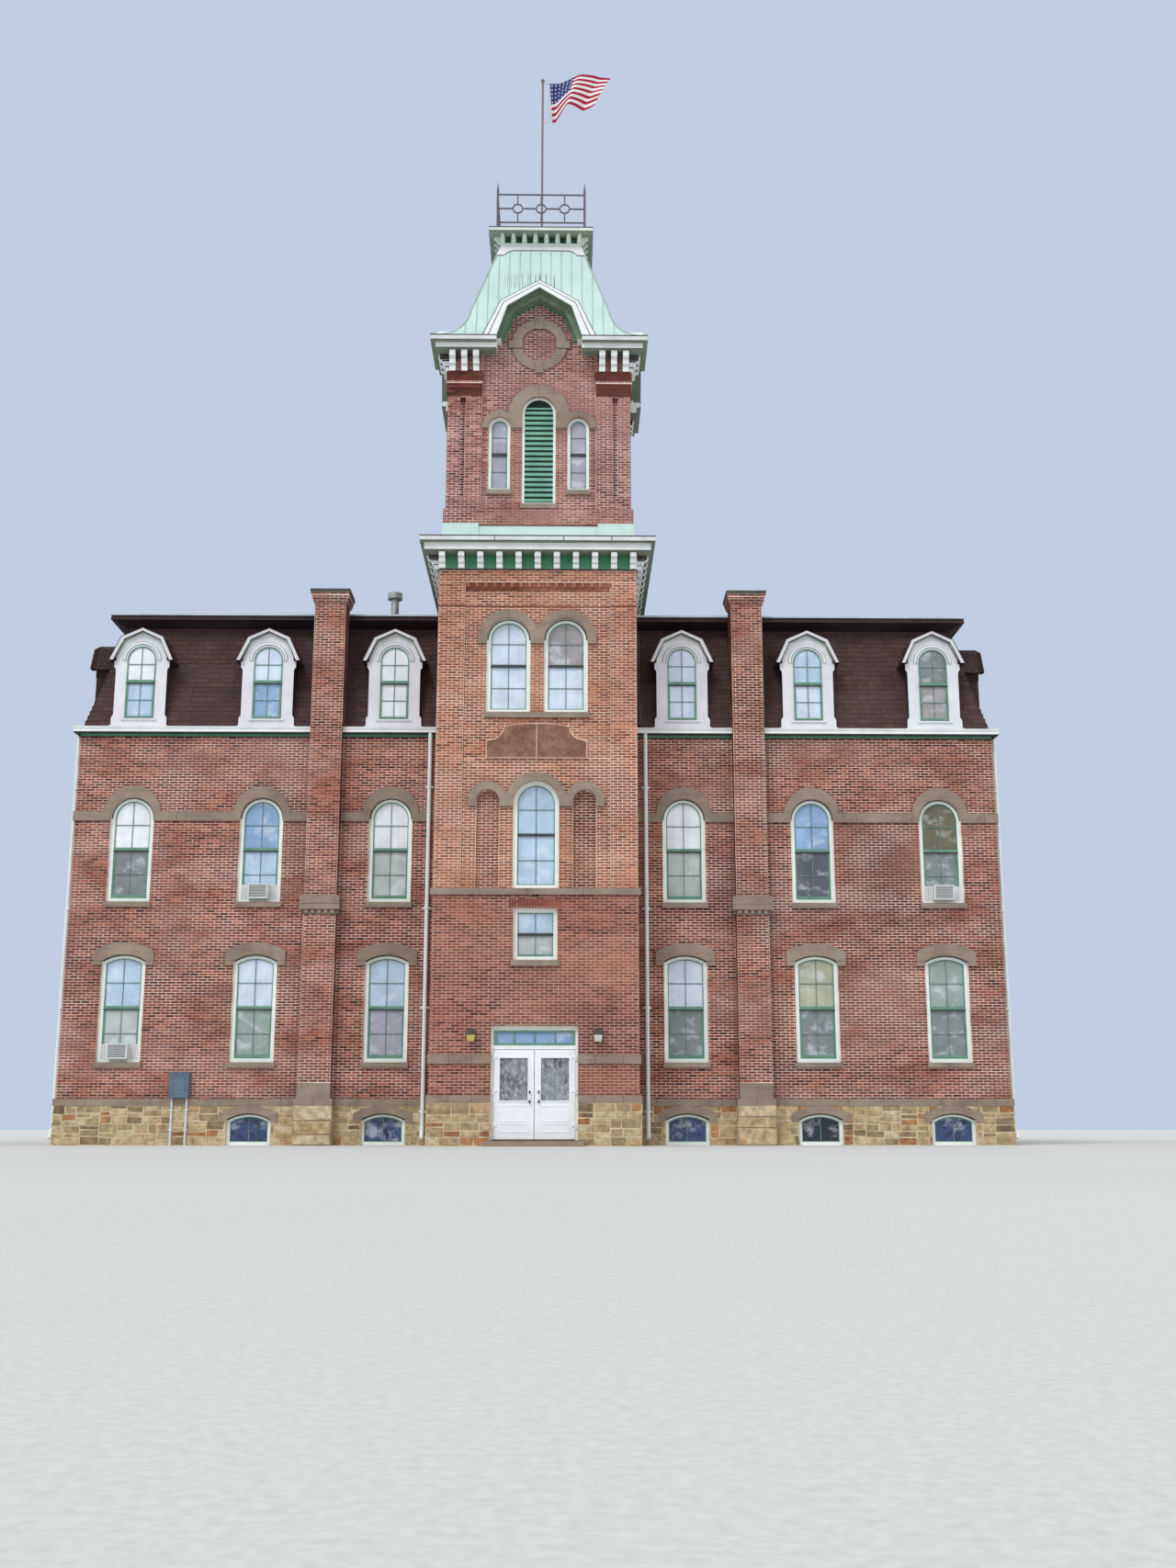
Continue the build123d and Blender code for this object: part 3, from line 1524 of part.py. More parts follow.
# Downspouts: straight pipes from the eaves, each with a shoe that turns outwards
pipe_stand = water_table_proud + pipe_radius
side_lean = (0.1, -0.9)


def downspout(x, y, top, direction):
    """Pipe down to a shoe that leans in a direction across the ground."""
    dx, dy = direction
    with BuildPart() as pipe:
        with BuildLine() as path:
            FilletPolyline(
                (x, y, top),
                (x, y, downspout_bottom + shoe_rise),
                (x + dx * shoe_reach, y + dy * shoe_reach, downspout_bottom),
                radius=shoe_bend,
            )
        with BuildSketch(Plane(origin=(x, y, top), z_dir=(0, 0, -1))):
            Circle(pipe_radius)
        sweep()
    return pipe.part


with BuildPart() as downspouts:
    for side in (-1, 1):
        add(downspout(side * downspout_x, front_y - pipe_stand, board_top, (0, -1)))
        lean = (side * side_lean[0], side_lean[1])
        add(downspout(side * (half_width + pipe_stand), front_y + side_pipe_setback, board_top, lean))
save(downspouts, "downspouts")

# Pipes down the mansard beside the tower
with BuildPart() as upper_downspouts:
    for side in (-1, 1):
        x = side * (tower_half + 2 * upper_pipe_radius + upper_pipe_gap)
        foot = slope_plane(front)
        length = (mansard_top - wall_top) * (1 + slope ** 2) ** 0.5
        with BuildSketch(Plane(origin=foot.from_local_coords(Vector(x, upper_pipe_foot, upper_pipe_radius)),
                               x_dir=foot.x_dir, z_dir=foot.y_dir)):
            Circle(upper_pipe_radius)
        extrude(amount=length - upper_pipe_cut)
save(upper_downspouts, "upper_downspouts")

# Electric cabinet with two conduits
with BuildPart() as meter_cabinet:
    box(cabinet_x - cabinet_width / 2, cabinet_x + cabinet_width / 2, front_y - cabinet_depth,
        front_y, cabinet_bottom, cabinet_bottom + cabinet_height)
    for side in (-1, 1):
        x = cabinet_x + side * conduit_spacing / 2
        with Locations((x, front_y - water_table_proud - conduit_radius, 0)):
            Cylinder(conduit_radius, cabinet_bottom, align=(Align.CENTER, Align.CENTER, Align.MIN))
save(meter_cabinet, "meter_cabinet")

# Window coolers, each on its frame's bottom member and against the glass
cooler_windows = [first_window(-front_columns[2]), second_window(-front_columns[1]),
                  second_window(front_columns[2])]
with BuildPart() as window_coolers:
    with BuildSketch(front.offset(-frame_setback - rail_depth)):
        for window in cooler_windows:
            bottom = window.sill + frame_border
            add(rectangle_face(window.u - cooler_width / 2, window.u + cooler_width / 2,
                               bottom, bottom + cooler_height))
    extrude(amount=frame_setback + rail_depth + cooler_reach)
save(window_coolers, "window_coolers")
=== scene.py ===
import math
from collections import namedtuple

import bpy
import numpy as np
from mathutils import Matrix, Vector
from mathutils.geometry import tessellate_polygon


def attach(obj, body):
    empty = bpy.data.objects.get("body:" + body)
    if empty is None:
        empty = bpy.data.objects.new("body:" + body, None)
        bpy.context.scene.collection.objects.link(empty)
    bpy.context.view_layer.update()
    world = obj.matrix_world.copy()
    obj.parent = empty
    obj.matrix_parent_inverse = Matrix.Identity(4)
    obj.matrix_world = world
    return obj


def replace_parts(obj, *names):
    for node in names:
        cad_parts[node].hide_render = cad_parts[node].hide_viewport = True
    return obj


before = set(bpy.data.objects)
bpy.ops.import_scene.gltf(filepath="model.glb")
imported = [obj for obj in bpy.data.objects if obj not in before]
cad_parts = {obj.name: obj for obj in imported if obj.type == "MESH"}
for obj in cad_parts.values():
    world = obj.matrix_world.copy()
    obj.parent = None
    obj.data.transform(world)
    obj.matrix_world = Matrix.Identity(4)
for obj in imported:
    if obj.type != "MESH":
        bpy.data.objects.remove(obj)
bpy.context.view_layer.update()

# Places and sizes of the frame, in metres
half_width = 11.35
half_depth = 7.9
front_y = -6.85
middle_y = front_y + half_depth
tower_half = 2.39
tower_projection = 1.8
tower_front_y = front_y - tower_projection
tower_y = tower_front_y + tower_half
foundation_top = 0.92
foundation_proud = 0.04
table_proud = 0.06
wall_low = 1.08
wall_high = 9.92
board_top = 10.0
board_reach = 0.044
eaves_top = 10.15
eaves_reach = 0.15
tower_base_top = 0.96
tower_base_proud = 0.05
tower_brick_low = 1.125
tower_belt_low = 5.71
door_belt_low = 1.83
door_belt_high = 2.03
tower_brick_top = 13.69
tower_top = 14.06
fascia_top = 14.25
fascia_reach = 0.35
cornice_top = 14.4
cornice_reach = 0.45
frieze_proud = 0.03
bracket_width = 0.15
bracket_reach = 0.3
panel_half = 1.75
panel_low = 5.86
panel_high = 13.36
panel_depth = 0.05
tablet_low = 9.0
niche_depth = 0.13
door_half = 0.99
door_head = 2.69
door_plane = 0.11
belfry_half = 2.25
belfry_inner = 1.42
belfry_recess = 0.04
belfry_base_low = 14.84
belfry_base_proud = 0.06
belfry_low = 15.28
belfry_recess_low = 15.3
belfry_bracket_low = 18.95
belfry_wall_top = 19.45
belfry_fascia_top = 19.6
belfry_top = 19.75
belfry_fascia_reach = 0.34
belfry_reach = 0.455
cornice_half = belfry_half + belfry_reach
verge_reach = 0.25
verge_foot = 1.065
roof_top_half = 1.065
roof_top = 23.12
roof_hip_half = 1.77
roof_hip = 20.91
deck_bracket_low = 23.24
deck_frieze_top = 23.43
deck_cornice_half = 1.365
deck_cornice_top = 23.55
mansard_low = 10.07
mansard_high = 12.96
mansard_inset = 0.02
mansard_lean = 0.79
deck_half = 10.92
deck_half_depth = 7.47
deck_edge_low = 13.1
deck_top = 13.26
dormer_inset = 0.01
dormer_hood_reach = 0.12
chimney_x = 5.23
pier_half = 0.385
pier_projection = 0.32
pier_back = 0.4
pier_base_half = 0.455
pier_block_top = 1.44
band_low = 5.44
band_high = 5.89
corbel_low = 13.35
stack_top = 13.56
corbel_reaches = (0.04, 0.065, 0.085)
column = 3.17
front_column = 3.61
frame_setback = 0.06
rail_depth = 0.045
frame_border = 0.075

Face = namedtuple("Face", "origin u v n")
Window = namedtuple("Window", "u sill width head rise")


# Flat outlines, as lists of points
def ordered(a, b):
    return (a, b) if a < b else (b, a)


def oblong(u0, u1, v0, v1):
    return [(u0, v0), (u1, v0), (u1, v1), (u0, v1)]


def square(half):
    return oblong(-half, half, -half, half)


def symmetric(half, middle=0.0):
    """Outline from its right half, which ends on the middle line, and that half's mirror image."""
    return [(middle + u, v) for u, v in half] + [(middle - u, v) for u, v in half[-2::-1]]


def mixed(a, b, share):
    """Outline part of the way from one to another."""
    return [(p[0] + (q[0] - p[0]) * share, p[1] + (q[1] - p[1]) * share) for p, q in zip(a, b)]


def circle(u, v, radius, steps=12):
    turns = [2 * math.pi * k / steps for k in range(steps)]
    return [(u + radius * math.cos(t), v + radius * math.sin(t)) for t in turns]


def arch(window, inset=0.0, steps=14):
    """Outline of a window less an inset, anticlockwise from its lower left corner."""
    half = window.width / 2 - inset
    top = window.head - inset
    rise = window.rise * half / (window.width / 2)
    points = [(window.u - half, window.sill + inset), (window.u + half, window.sill + inset)]
    if not rise:
        return points + [(window.u + half, top), (window.u - half, top)]
    radius = (half ** 2 + rise ** 2) / (2 * rise)
    reach = math.asin(min(1, half / radius))
    turns = [reach * (1 - 2 * k / steps) for k in range(steps + 1)]
    return points + [(window.u + radius * math.sin(t), top - radius + radius * math.cos(t)) for t in turns]


def grown_head(window, margin):
    """Arched head of a window grown by a margin."""
    u, _, width, head, rise = window
    return arch(Window(u, head - rise, width + 2 * margin, head + margin, rise + margin))[2:]


def half_at(window, level):
    """Half the width of an arched opening at a level."""
    half = window.width / 2
    if not window.rise or level < window.head - window.rise:
        return half
    radius = (half ** 2 + window.rise ** 2) / (2 * window.rise)
    return math.sqrt(max(0, radius ** 2 - (level - window.head + radius) ** 2))


# Faces that carry the details, each with its own directions across, up and outwards
def wall_face(x, y, nx, ny):
    """Upright face through a point that looks outwards along a direction."""
    return Face(*np.array([(x, y, 0.0), (-ny, nx, 0.0), (0.0, 0.0, 1.0), (nx, ny, 0.0)]))


def level_face(y, up=1.0):
    """Level face about a point on the middle line that looks up, or down for up = -1."""
    return Face(*np.array([(0.0, y, 0.0), (1.0, 0.0, 0.0), (0.0, up, 0.0), (0.0, 0.0, up)]))


def around(half, depth, y):
    """The front, right, back and left faces of a block about a point on the middle line."""
    return [wall_face(nx * half, y + ny * depth, nx, ny) for nx, ny in ((0, -1), (1, 0), (0, 1), (-1, 0))]


def moved(face, distance):
    return face._replace(origin=face.origin + face.n * distance)


def cheek(x, way, half=pier_half):
    """Side face of a chimney's pier."""
    return wall_face(x + way * half, front_y, way, 0)


front, right, back, left = around(half_width, half_depth, middle_y)
tower_faces = around(tower_half, tower_half, tower_y)
tower_front = tower_faces[0]
recessed = moved(tower_front, -panel_depth)
pier_front = moved(front, pier_projection)
belfry_faces = around(belfry_half, belfry_half, tower_y)
axis_faces = around(0, 0, tower_y)
tower_plan = level_face(tower_y)
tower_soffit = level_face(tower_y, -1.0)
block_plan = level_face(middle_y)

first_window = Window(0, 1.93, 1.05, 4.5, 0.15)
second_window = Window(0, 5.775, 1.05, 8.37, 0.525)
basement_window = Window(0, 0.0, 1.05, 0.74, 0.14)
dormer_window = Window(0, 10.375, 0.73, 12.25, 0.365)
stair_window = Window(0, 4.19, 1.02, 5.4, 0)
tower_window = Window(0, 5.86, 1.07, 8.43, 0.535)
paired_windows = [Window(u, 10.1, 1.045, 12.45, 0.5225) for u in (-0.69, 0.69)]
niches = [Window(u, 5.86, 0.545, 8.22, 0.2725) for u in (-1.145, 1.145)]
louvre_window = Window(0, 15.44, 0.83, 18.29, 0.415)
side_lights = [Window(u, 15.81, 0.535, 17.74, 0.2675) for u in (-0.98, 0.98)]

front_columns = [side * (front_column + n * column) for side, n in
                 ((-1, 2), (-1, 1), (-1, 0), (1, 0), (1, 1), (1, 2))]
side_columns = [column * n for n in range(-2, 3)]
back_columns = front_columns[:3] + [0] + front_columns[3:]
# The block's sides: face, half its width, its columns of windows and those with a basement window
block = [(front, half_width, front_columns, front_columns[1:]),
         (right, half_depth, side_columns, side_columns),
         (back, half_width, back_columns, back_columns),
         (left, half_depth, side_columns, side_columns)]


def at(window, u):
    return window._replace(u=u)


def stretches(face, half, middle=tower_half, pier=pier_half):
    """Spans of a face, with their side: whole, or for the front, beside the tower and the chimneys."""
    if face is not front:
        return [(-half, half, 0)]
    return [(*ordered(side * a, side * b), side) for side in (-1, 1)
            for a, b in ((middle, chimney_x - pier), (chimney_x + pier, half))]


box_quads = np.array([[4, 5, 6, 7], [0, 1, 5, 4], [1, 2, 6, 5], [2, 3, 7, 6], [3, 0, 4, 7]])


class Shape:
    """Gathers faces with a tone for each, to become one piece."""

    def __init__(self):
        self.points = []
        self.faces = []
        self.tones = []
        self.count = 0

    def add(self, points, faces, tone=0.5):
        points = np.asarray(points, float).reshape(-1, 3)
        self.points.append(points)
        self.faces.extend([int(i) + self.count for i in f] for f in faces)
        self.tones.append(np.broadcast_to(tone, (len(points),)))
        self.count += len(points)

    def boxes(self, face, rows, back, front, tones=0.5):
        """Boxes on a face between two distances; each row is u0, u1, v0, v1."""
        rows = np.asarray(rows, float).reshape(-1, 4)
        n = len(rows)
        if not n:
            return
        base = face.origin + rows[:, [0, 1, 1, 0], None] * face.u + rows[:, [2, 2, 3, 3], None] * face.v
        near, far = (np.broadcast_to(d, (n,))[:, None, None] * face.n for d in (front, back))
        quads = (box_quads[None] + 8 * np.arange(n)[:, None, None]).reshape(-1, 4)
        points = np.concatenate([base + far, base + near], axis=1)
        self.add(points, quads.tolist(), np.repeat(np.broadcast_to(tones, (n,)), 8))

    def box(self, face, u0, u1, v0, v1, back, front, tone=0.5):
        """One box, from its ends in either order."""
        self.boxes(face, [(*ordered(u0, u1), *ordered(v0, v1))], back, front, tone)

    def plate(self, face, outer, holes, back, front, tone=0.5, closed=False):
        """Plate from an outline less its holes, between two distances from a face."""
        loops = [outer] + [h[::-1] for h in holes]
        flat = [p for loop in loops for p in loop]
        n = len(flat)
        faces = []
        for tri in tessellate_polygon([[Vector((u, v, 0)) for u, v in loop] for loop in loops]):
            a, b, c = (np.array(flat[i]) for i in tri)
            turn = (b[0] - a[0]) * (c[1] - a[1]) - (b[1] - a[1]) * (c[0] - a[0])
            near = list(tri if turn > 0 else tri[::-1])
            faces.append([i + n for i in near])
            if closed:
                faces.append(near[::-1])
        start = 0
        for loop in loops:
            for k in range(len(loop)):
                i, j = start + k, start + (k + 1) % len(loop)
                faces.append([i, j, j + n, i + n])
            start += len(loop)
        uv = np.array(flat)
        base = face.origin + uv[:, :1] * face.u + uv[:, 1:] * face.v
        self.add(np.concatenate([base + face.n * back, base + face.n * front]), faces, tone)

    def band(self, face, outer, inner, back, front):
        """Plate between two open outlines that run the same way."""
        self.plate(face, list(outer) + list(inner)[::-1], [], back, front)

    def border(self, face, u0, u1, v0, v1, du, dv, front):
        """Flat frame inside a rectangle, with its widths across and up."""
        self.plate(face, oblong(u0, u1, v0, v1), [oblong(u0 + du, u1 - du, v0 + dv, v1 - dv)], 0.0, front)

    def ring(self, plan, half, depth, width, low, high):
        """Level moulding that stands out all round from a rectangle."""
        outer = oblong(-half - width, half + width, -depth - width, depth + width)
        self.plate(plan, outer, [oblong(-half, half, -depth, depth)], low, high, closed=True)

    def round_bar(self, a, b, radius, sides=8):
        """Round bar with closed ends between two points."""
        a, b = np.array(a, float), np.array(b, float)
        along = (b - a) / np.linalg.norm(b - a)
        other = np.array((1.0, 0, 0)) if abs(along[0]) < 0.9 else np.array((0, 1.0, 0))
        p = np.cross(along, other)
        p /= np.linalg.norm(p)
        turns = (np.arange(sides) * 2 * math.pi / sides)[:, None]
        ring = radius * (np.cos(turns) * p + np.sin(turns) * np.cross(along, p))
        faces = [[k, (k + 1) % sides, sides + (k + 1) % sides, sides + k] for k in range(sides)]
        faces += [list(range(sides))[::-1], list(range(sides, 2 * sides))]
        self.add(np.concatenate([a + ring, b + ring]), faces)

    def build(self, name, paint, slot="white_paint", body="building"):
        mesh = bpy.data.meshes.new(name)
        mesh.from_pydata(np.concatenate(self.points).tolist(), [], self.faces)
        tones = np.concatenate(self.tones).astype(np.float32)
        mesh.attributes.new("tone", "FLOAT", "POINT").data.foreach_set("value", tones)
        mesh.materials.append(paints[paint])
        mesh.update()
        return link(name, mesh, body)


def link(name, mesh, body):
    """Piece of a mesh that rides on a body."""
    piece = bpy.data.objects.new(name, mesh)
    bpy.context.scene.collection.objects.link(piece)
    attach(piece, body)
    return piece


# Materials
paints = {}


def srgb(r, g, b):
    """Linear colour from one of 0 to 255."""
    return tuple(((c / 255 + 0.055) / 1.055) ** 2.4 if c > 10 else c / 255 / 12.92 for c in (r, g, b)) + (1,)


class Paint:
    """A material on one shader, with the textures that colour it."""

    def __init__(self, name, roughness, specular=0.5, metallic=0.0):
        self.name = name
        self.material = bpy.data.materials.new(name)
        self.material.use_nodes = True
        self.tree = self.material.node_tree
        self.shader = self.tree.nodes["Principled BSDF"]
        self.shader.inputs["Roughness"].default_value = roughness
        self.shader.inputs["Specular IOR Level"].default_value = specular
        self.shader.inputs["Metallic"].default_value = metallic
        self.place = self.node("TexCoord", {}, "Object")

    def feed(self, socket, value):
        """Links a texture to a socket, or sets the socket to a number, a vector or a colour of 0 to 255."""
        if isinstance(value, bpy.types.NodeSocket):
            self.tree.links.new(value, socket)
        else:
            socket.default_value = srgb(*value) if socket.type == "RGBA" else value

    def node(self, kind, inputs, output, **settings):
        """One output of a new node."""
        node = self.tree.nodes.new("ShaderNode" + kind)
        for key, value in settings.items():
            setattr(node, key, value)
        for key, value in inputs.items():
            self.feed(node.inputs[key], value)
        return node.outputs[output]

    def noise(self, scale, detail=4.0, stretch=None, roughness=0.6):
        place = self.place
        if stretch:
            place = self.node("Mapping", {"Vector": place, "Scale": stretch}, "Vector")
        inputs = {"Vector": place, "Scale": scale, "Detail": detail, "Roughness": roughness}
        return self.node("TexNoise", inputs, "Fac")

    def axis(self, letter, place=None):
        return self.node("SeparateXYZ", {"Vector": place or self.place}, letter)

    def tone(self):
        return self.node("Attribute", {}, "Fac", attribute_name="tone")

    def between(self, value, low, high, to_low=0.0, to_high=1.0):
        inputs = {"Value": value, "From Min": low, "From Max": high, "To Min": to_low, "To Max": to_high}
        return self.node("MapRange", inputs, "Result")

    def patch(self, low, high, to_low, to_high, source, *more):
        """Share that follows a noise, or the place along an axis, between two of its values."""
        value = self.axis(source) if isinstance(source, str) else self.noise(source, *more)
        return self.between(value, low, high, to_low, to_high)

    def ramp(self, stops):
        """Colour picked by each face's tone."""
        node = self.tree.nodes.new("ShaderNodeValToRGB")
        elements = node.color_ramp.elements
        while len(elements) < len(stops):
            elements.new(0.5)
        for element, (place, colour) in zip(elements, stops):
            element.position = place
            element.color = srgb(*colour)
        self.feed(node.inputs["Fac"], self.tone())
        return node.outputs["Color"]

    def mix(self, factor, a, b, blend="MIX"):
        return self.node("Mix", {0: factor, 6: a, 7: b}, 2, data_type="RGBA", blend_type=blend)

    def maths(self, kind, a, b=0.0):
        return self.node("Math", {0: a, 1: b}, 0, operation=kind)

    def cover(self, colour, layers):
        """Colour under patches of other colours or, where a layer names none, of shade."""
        for over, *patch in layers:
            share = self.patch(*patch)
            colour = self.mix(share, colour, over) if over else self.mix(1.0, colour, share, "MULTIPLY")
        return colour

    def finish(self, colour, grain=None, depth=0.002, strength=0.6):
        """Keeps the material, with a colour and with a bump of a noise's grain."""
        if grain:
            inputs = {"Height": self.noise(*grain), "Distance": depth, "Strength": strength}
            self.feed(self.shader.inputs["Normal"], self.node("Bump", inputs, "Normal"))
        self.feed(self.shader.inputs["Base Color"], colour)
        paints[self.name] = self.material


def toned(name, roughness, specular, stops, layers, *bump):
    """Material whose tone differs from face to face."""
    paint = Paint(name, roughness, specular)
    paint.finish(paint.cover(paint.ramp(stops), layers), *bump)


def clouded(name, roughness, specular, low, high, patch, layers, *bump, metallic=0.0):
    """Material that drifts between two colours."""
    paint = Paint(name, roughness, specular, metallic)
    paint.finish(paint.cover(paint.mix(paint.patch(*patch), low, high), layers), *bump)


def plain(name, low, high, roughness, scale, depth, specular=0.5, metallic=0.0):
    """Material that drifts between two colours, with fine grain in its surface."""
    clouded(name, roughness, specular, low, high, (0.3, 0.7, 0.0, 1.0, scale),
            [(None, 0.3, 0.7, 0.92, 1.06, 40, 3)], (40,), depth, metallic=metallic)


# Bricks have a tone for each, rosy patches, sooty ones, and all are darker right of the tower
grime = (84, 52, 48)
bricks = {
    "wing_brick": ((78, 42, 36), (135, 71, 58), (182, 110, 90), grime, (156, 112, 102)),
    "tower_brick": ((98, 50, 40), (156, 87, 65), (200, 132, 102), (132, 84, 70), (180, 124, 104)),
    "low_brick": ((82, 42, 38), (134, 72, 62), (174, 108, 94), grime, (172, 110, 88)),
    "belfry_brick": ((88, 50, 46), (146, 88, 78), (194, 136, 122), (104, 68, 62), (168, 122, 114)),
    "cap_brick": ((74, 30, 28), (124, 54, 46), (158, 80, 66), grime, (120, 58, 50)),
}
for name, (dark, middle, pale, sooty, rosy) in bricks.items():
    toned(name, 0.85, 0.2, [(0.0, dark), (0.5, middle), (1.0, pale)], [
        (rosy, 0.46, 0.62, 0.0, 0.6, 0.6, 5, (0.7, 0.7, 1.3)), (sooty, 0.46, 0.68, 0.0, 0.6, 0.42, 5),
        (None, 2.4, 3.2, 1.0, 0.88, "X"), (None, 0.3, 0.7, 0.84, 1.14, 38, 3)], (60, 3))

# Mortar is fresh and pale in some stretches and grimy in others, and below a level
mortars = {
    "wing_mortar": ((192, 156, 138), (255, 236, 220), 0.0),
    "tower_mortar": ((222, 190, 166), (255, 242, 226), 5.8),
    "belfry_mortar": ((190, 158, 148), (246, 228, 218), 0.0),
}
for name, (low, high, grimy_below) in mortars.items():
    clouded(name, 0.95, 0.1, low, high, (0.38, 0.62, 0.0, 1.0, 0.9, 5, (0.8, 0.8, 1.6)), [
        ((184, 140, 126), grimy_below - 0.1, grimy_below, 0.6, 0.0, "Z"),
        (None, 0.3, 0.7, 0.85, 1.12, 30, 4)], (50, 3))

toned("rubble", 0.9, 0.2, [
    (0.0, (104, 88, 74)), (0.18, (150, 130, 102)), (0.5, (194, 170, 132)), (0.7, (206, 188, 156)),
    (0.84, (184, 134, 90)), (1.0, (136, 90, 66))],
    [((168, 128, 88), 0.5, 0.66, 0.0, 0.7, 3.2, 6), (None, 0.34, 0.66, 0.6, 1.16, 7, 6)], (14, 6), 0.008, 0.7)
toned("shingle", 0.9, 0.15, [(0.0, (58, 44, 46)), (0.5, (76, 58, 58)), (1.0, (94, 72, 70))],
      [(None, 0.3, 0.7, 0.84, 1.12, 0.8, 4), ((112, 82, 66), 0.56, 0.66, 0.0, 0.5, 16, 2)], (50, 3))
toned("lamp_glass", 0.3, 0.5, [(0.0, (198, 178, 98)), (1.0, (206, 206, 192))],
      [(None, 0.3, 0.7, 0.85, 1.1, 18)])
# Sandstone has faint level bedding and dark run-off
clouded("sandstone", 0.9, 0.2, (132, 114, 102), (162, 146, 130), (0.3, 0.7, 0.0, 1.0, 1.1, 5), [
    (None, 0.35, 0.65, 0.9, 1.08, 6, 3, (0.3, 0.3, 5)), ((106, 94, 86), 0.56, 0.7, 0.0, 0.45, 2.4, 6)], (30,))
clouded("tablet_stone", 0.9, 0.2, (114, 80, 66), (150, 112, 94), (0.35, 0.65, 0.0, 1.0, 5, 6),
        [((196, 160, 132), 0.58, 0.7, 0.0, 0.5, 26, 4)], (25,), 0.006)
# Door glass: dark, with painted reflections of branches in pale lines
clouded("door_pane", 0.1, 0.5, (84, 88, 92), (136, 142, 148), (0.42, 0.58, 0.0, 1.0, 2.4, 4),
        [((172, 178, 182), 0.5, 0.56, 0.0, 0.8, 14, 8, (1, 1, 0.6), 0.8)])

# Two colours, roughness, scale of drift and depth of grain, then specular level and metallic share if set
plain_materials = {
    "rubble_mortar": ((190, 172, 140), (218, 202, 172), 0.95, 4.0, 0.004, 0.1),
    "joint_dark": ((78, 66, 56), (98, 84, 70), 0.95, 6.0, 0.002, 0.1),
    "white_paint": ((226, 234, 230), (244, 248, 244), 0.5, 2.0, 0.0006),
    "board_white": ((214, 214, 222), (234, 234, 238), 0.5, 1.6, 0.0006),
    "white_worn": ((230, 234, 234), (250, 252, 252), 0.6, 2.2, 0.001),
    # grey of the gutters' mouldings: wear, and on the belfry's gutter painted shade in the hollow
    "gutter_grey_and_shade": ((200, 206, 206), (226, 232, 230), 0.6, 2.2, 0.001),
    # dark, for painted shadow lines and the chimneys' caps
    "edge_dark": ((64, 62, 60), (92, 90, 86), 0.8, 5.0, 0.001, 0.2),
    # grey-green soffit paint darkened as painted shade
    "soffit_green_and_shade": ((120, 134, 116), (148, 160, 142), 0.8, 3.0, 0.001, 0.2),
    # green-grey of the verges' undersides, darkened as painted shade
    "verge_green_and_shade": ((98, 118, 98), (126, 144, 122), 0.8, 3.0, 0.001, 0.2),
    # green frieze darkened as painted shade
    "shaded_frieze_green": ((34, 62, 46), (52, 86, 66), 0.7, 3.0, 0.001, 0.2),
    "deck_pale": ((204, 220, 210), (226, 236, 226), 0.6, 2.2, 0.001),
    "green_paint": ((58, 128, 92), (82, 150, 114), 0.55, 3.0, 0.0008),
    "louvre_green": ((98, 156, 132), (124, 180, 156), 0.6, 3.0, 0.0008),
    # near black, for painted shadow behind the louvres
    "louvre_shadow_dark": ((14, 30, 24), (26, 46, 38), 0.8, 5.0, 0.0006, 0.2),
    "sash_green": ((82, 130, 108), (108, 154, 132), 0.55, 3.0, 0.0006),
    "bar_grey": ((92, 122, 118), (120, 146, 142), 0.6, 5.0, 0.0006),
    # near black, for painted shadows at meeting rails and window heads
    "painted_shadow_dark": ((40, 50, 50), (60, 70, 68), 0.6, 5.0, 0.0006),
    # dark brown fascia, darkened further as painted shade under the deck's edge
    "dark_fascia_and_shade": ((40, 32, 34), (54, 44, 44), 0.8, 3.0, 0.001, 0.2),
    "pale_metal": ((176, 192, 206), (200, 212, 224), 0.5, 3.0, 0.0006),
    # darker than the roof metal: painted shade along the seams
    "seam_metal_shaded": ((146, 172, 158), (168, 192, 180), 0.6, 1.5, 0.0006),
    "deck_roofing": ((98, 96, 96), (124, 122, 120), 0.95, 1.2, 0.004, 0.1),
    "iron": ((76, 68, 84), (104, 94, 108), 0.6, 8.0, 0.001),
    "pole_paint": ((112, 94, 104), (140, 120, 128), 0.6, 8.0, 0.001),
    "dark_metal": ((46, 42, 44), (68, 62, 62), 0.55, 6.0, 0.001),
    "galvanised": ((150, 154, 156), (186, 190, 192), 0.45, 9.0, 0.0006, 0.5, 0.6),
    "pipe_white": ((222, 230, 228), (240, 246, 244), 0.45, 2.0, 0.0006),
    "cabinet_paint": ((84, 104, 122), (104, 124, 140), 0.5, 4.0, 0.0006),
    "conduit_paint": ((204, 210, 212), (226, 230, 232), 0.5, 4.0, 0.0006),
    "door_white": ((236, 240, 246), (246, 250, 252), 0.4, 1.5, 0.0004),
    "cooler_plastic": ((204, 206, 204), (224, 226, 224), 0.5, 5.0, 0.0004),
    "cooler_grille": ((84, 92, 96), (112, 118, 122), 0.6, 9.0, 0.0006),
    "lamp_bronze": ((62, 56, 52), (88, 80, 72), 0.5, 9.0, 0.0006),
    "floor_wood": ((110, 92, 72), (140, 118, 94), 0.7, 2.0, 0.001),
    "rope": ((176, 172, 160), (206, 202, 190), 0.9, 30.0, 0.001),
    "studio_floor": ((206, 206, 204), (212, 212, 210), 0.9, 0.05, 0.0, 0.1),
}
for name, values in plain_materials.items():
    plain(name, *values)
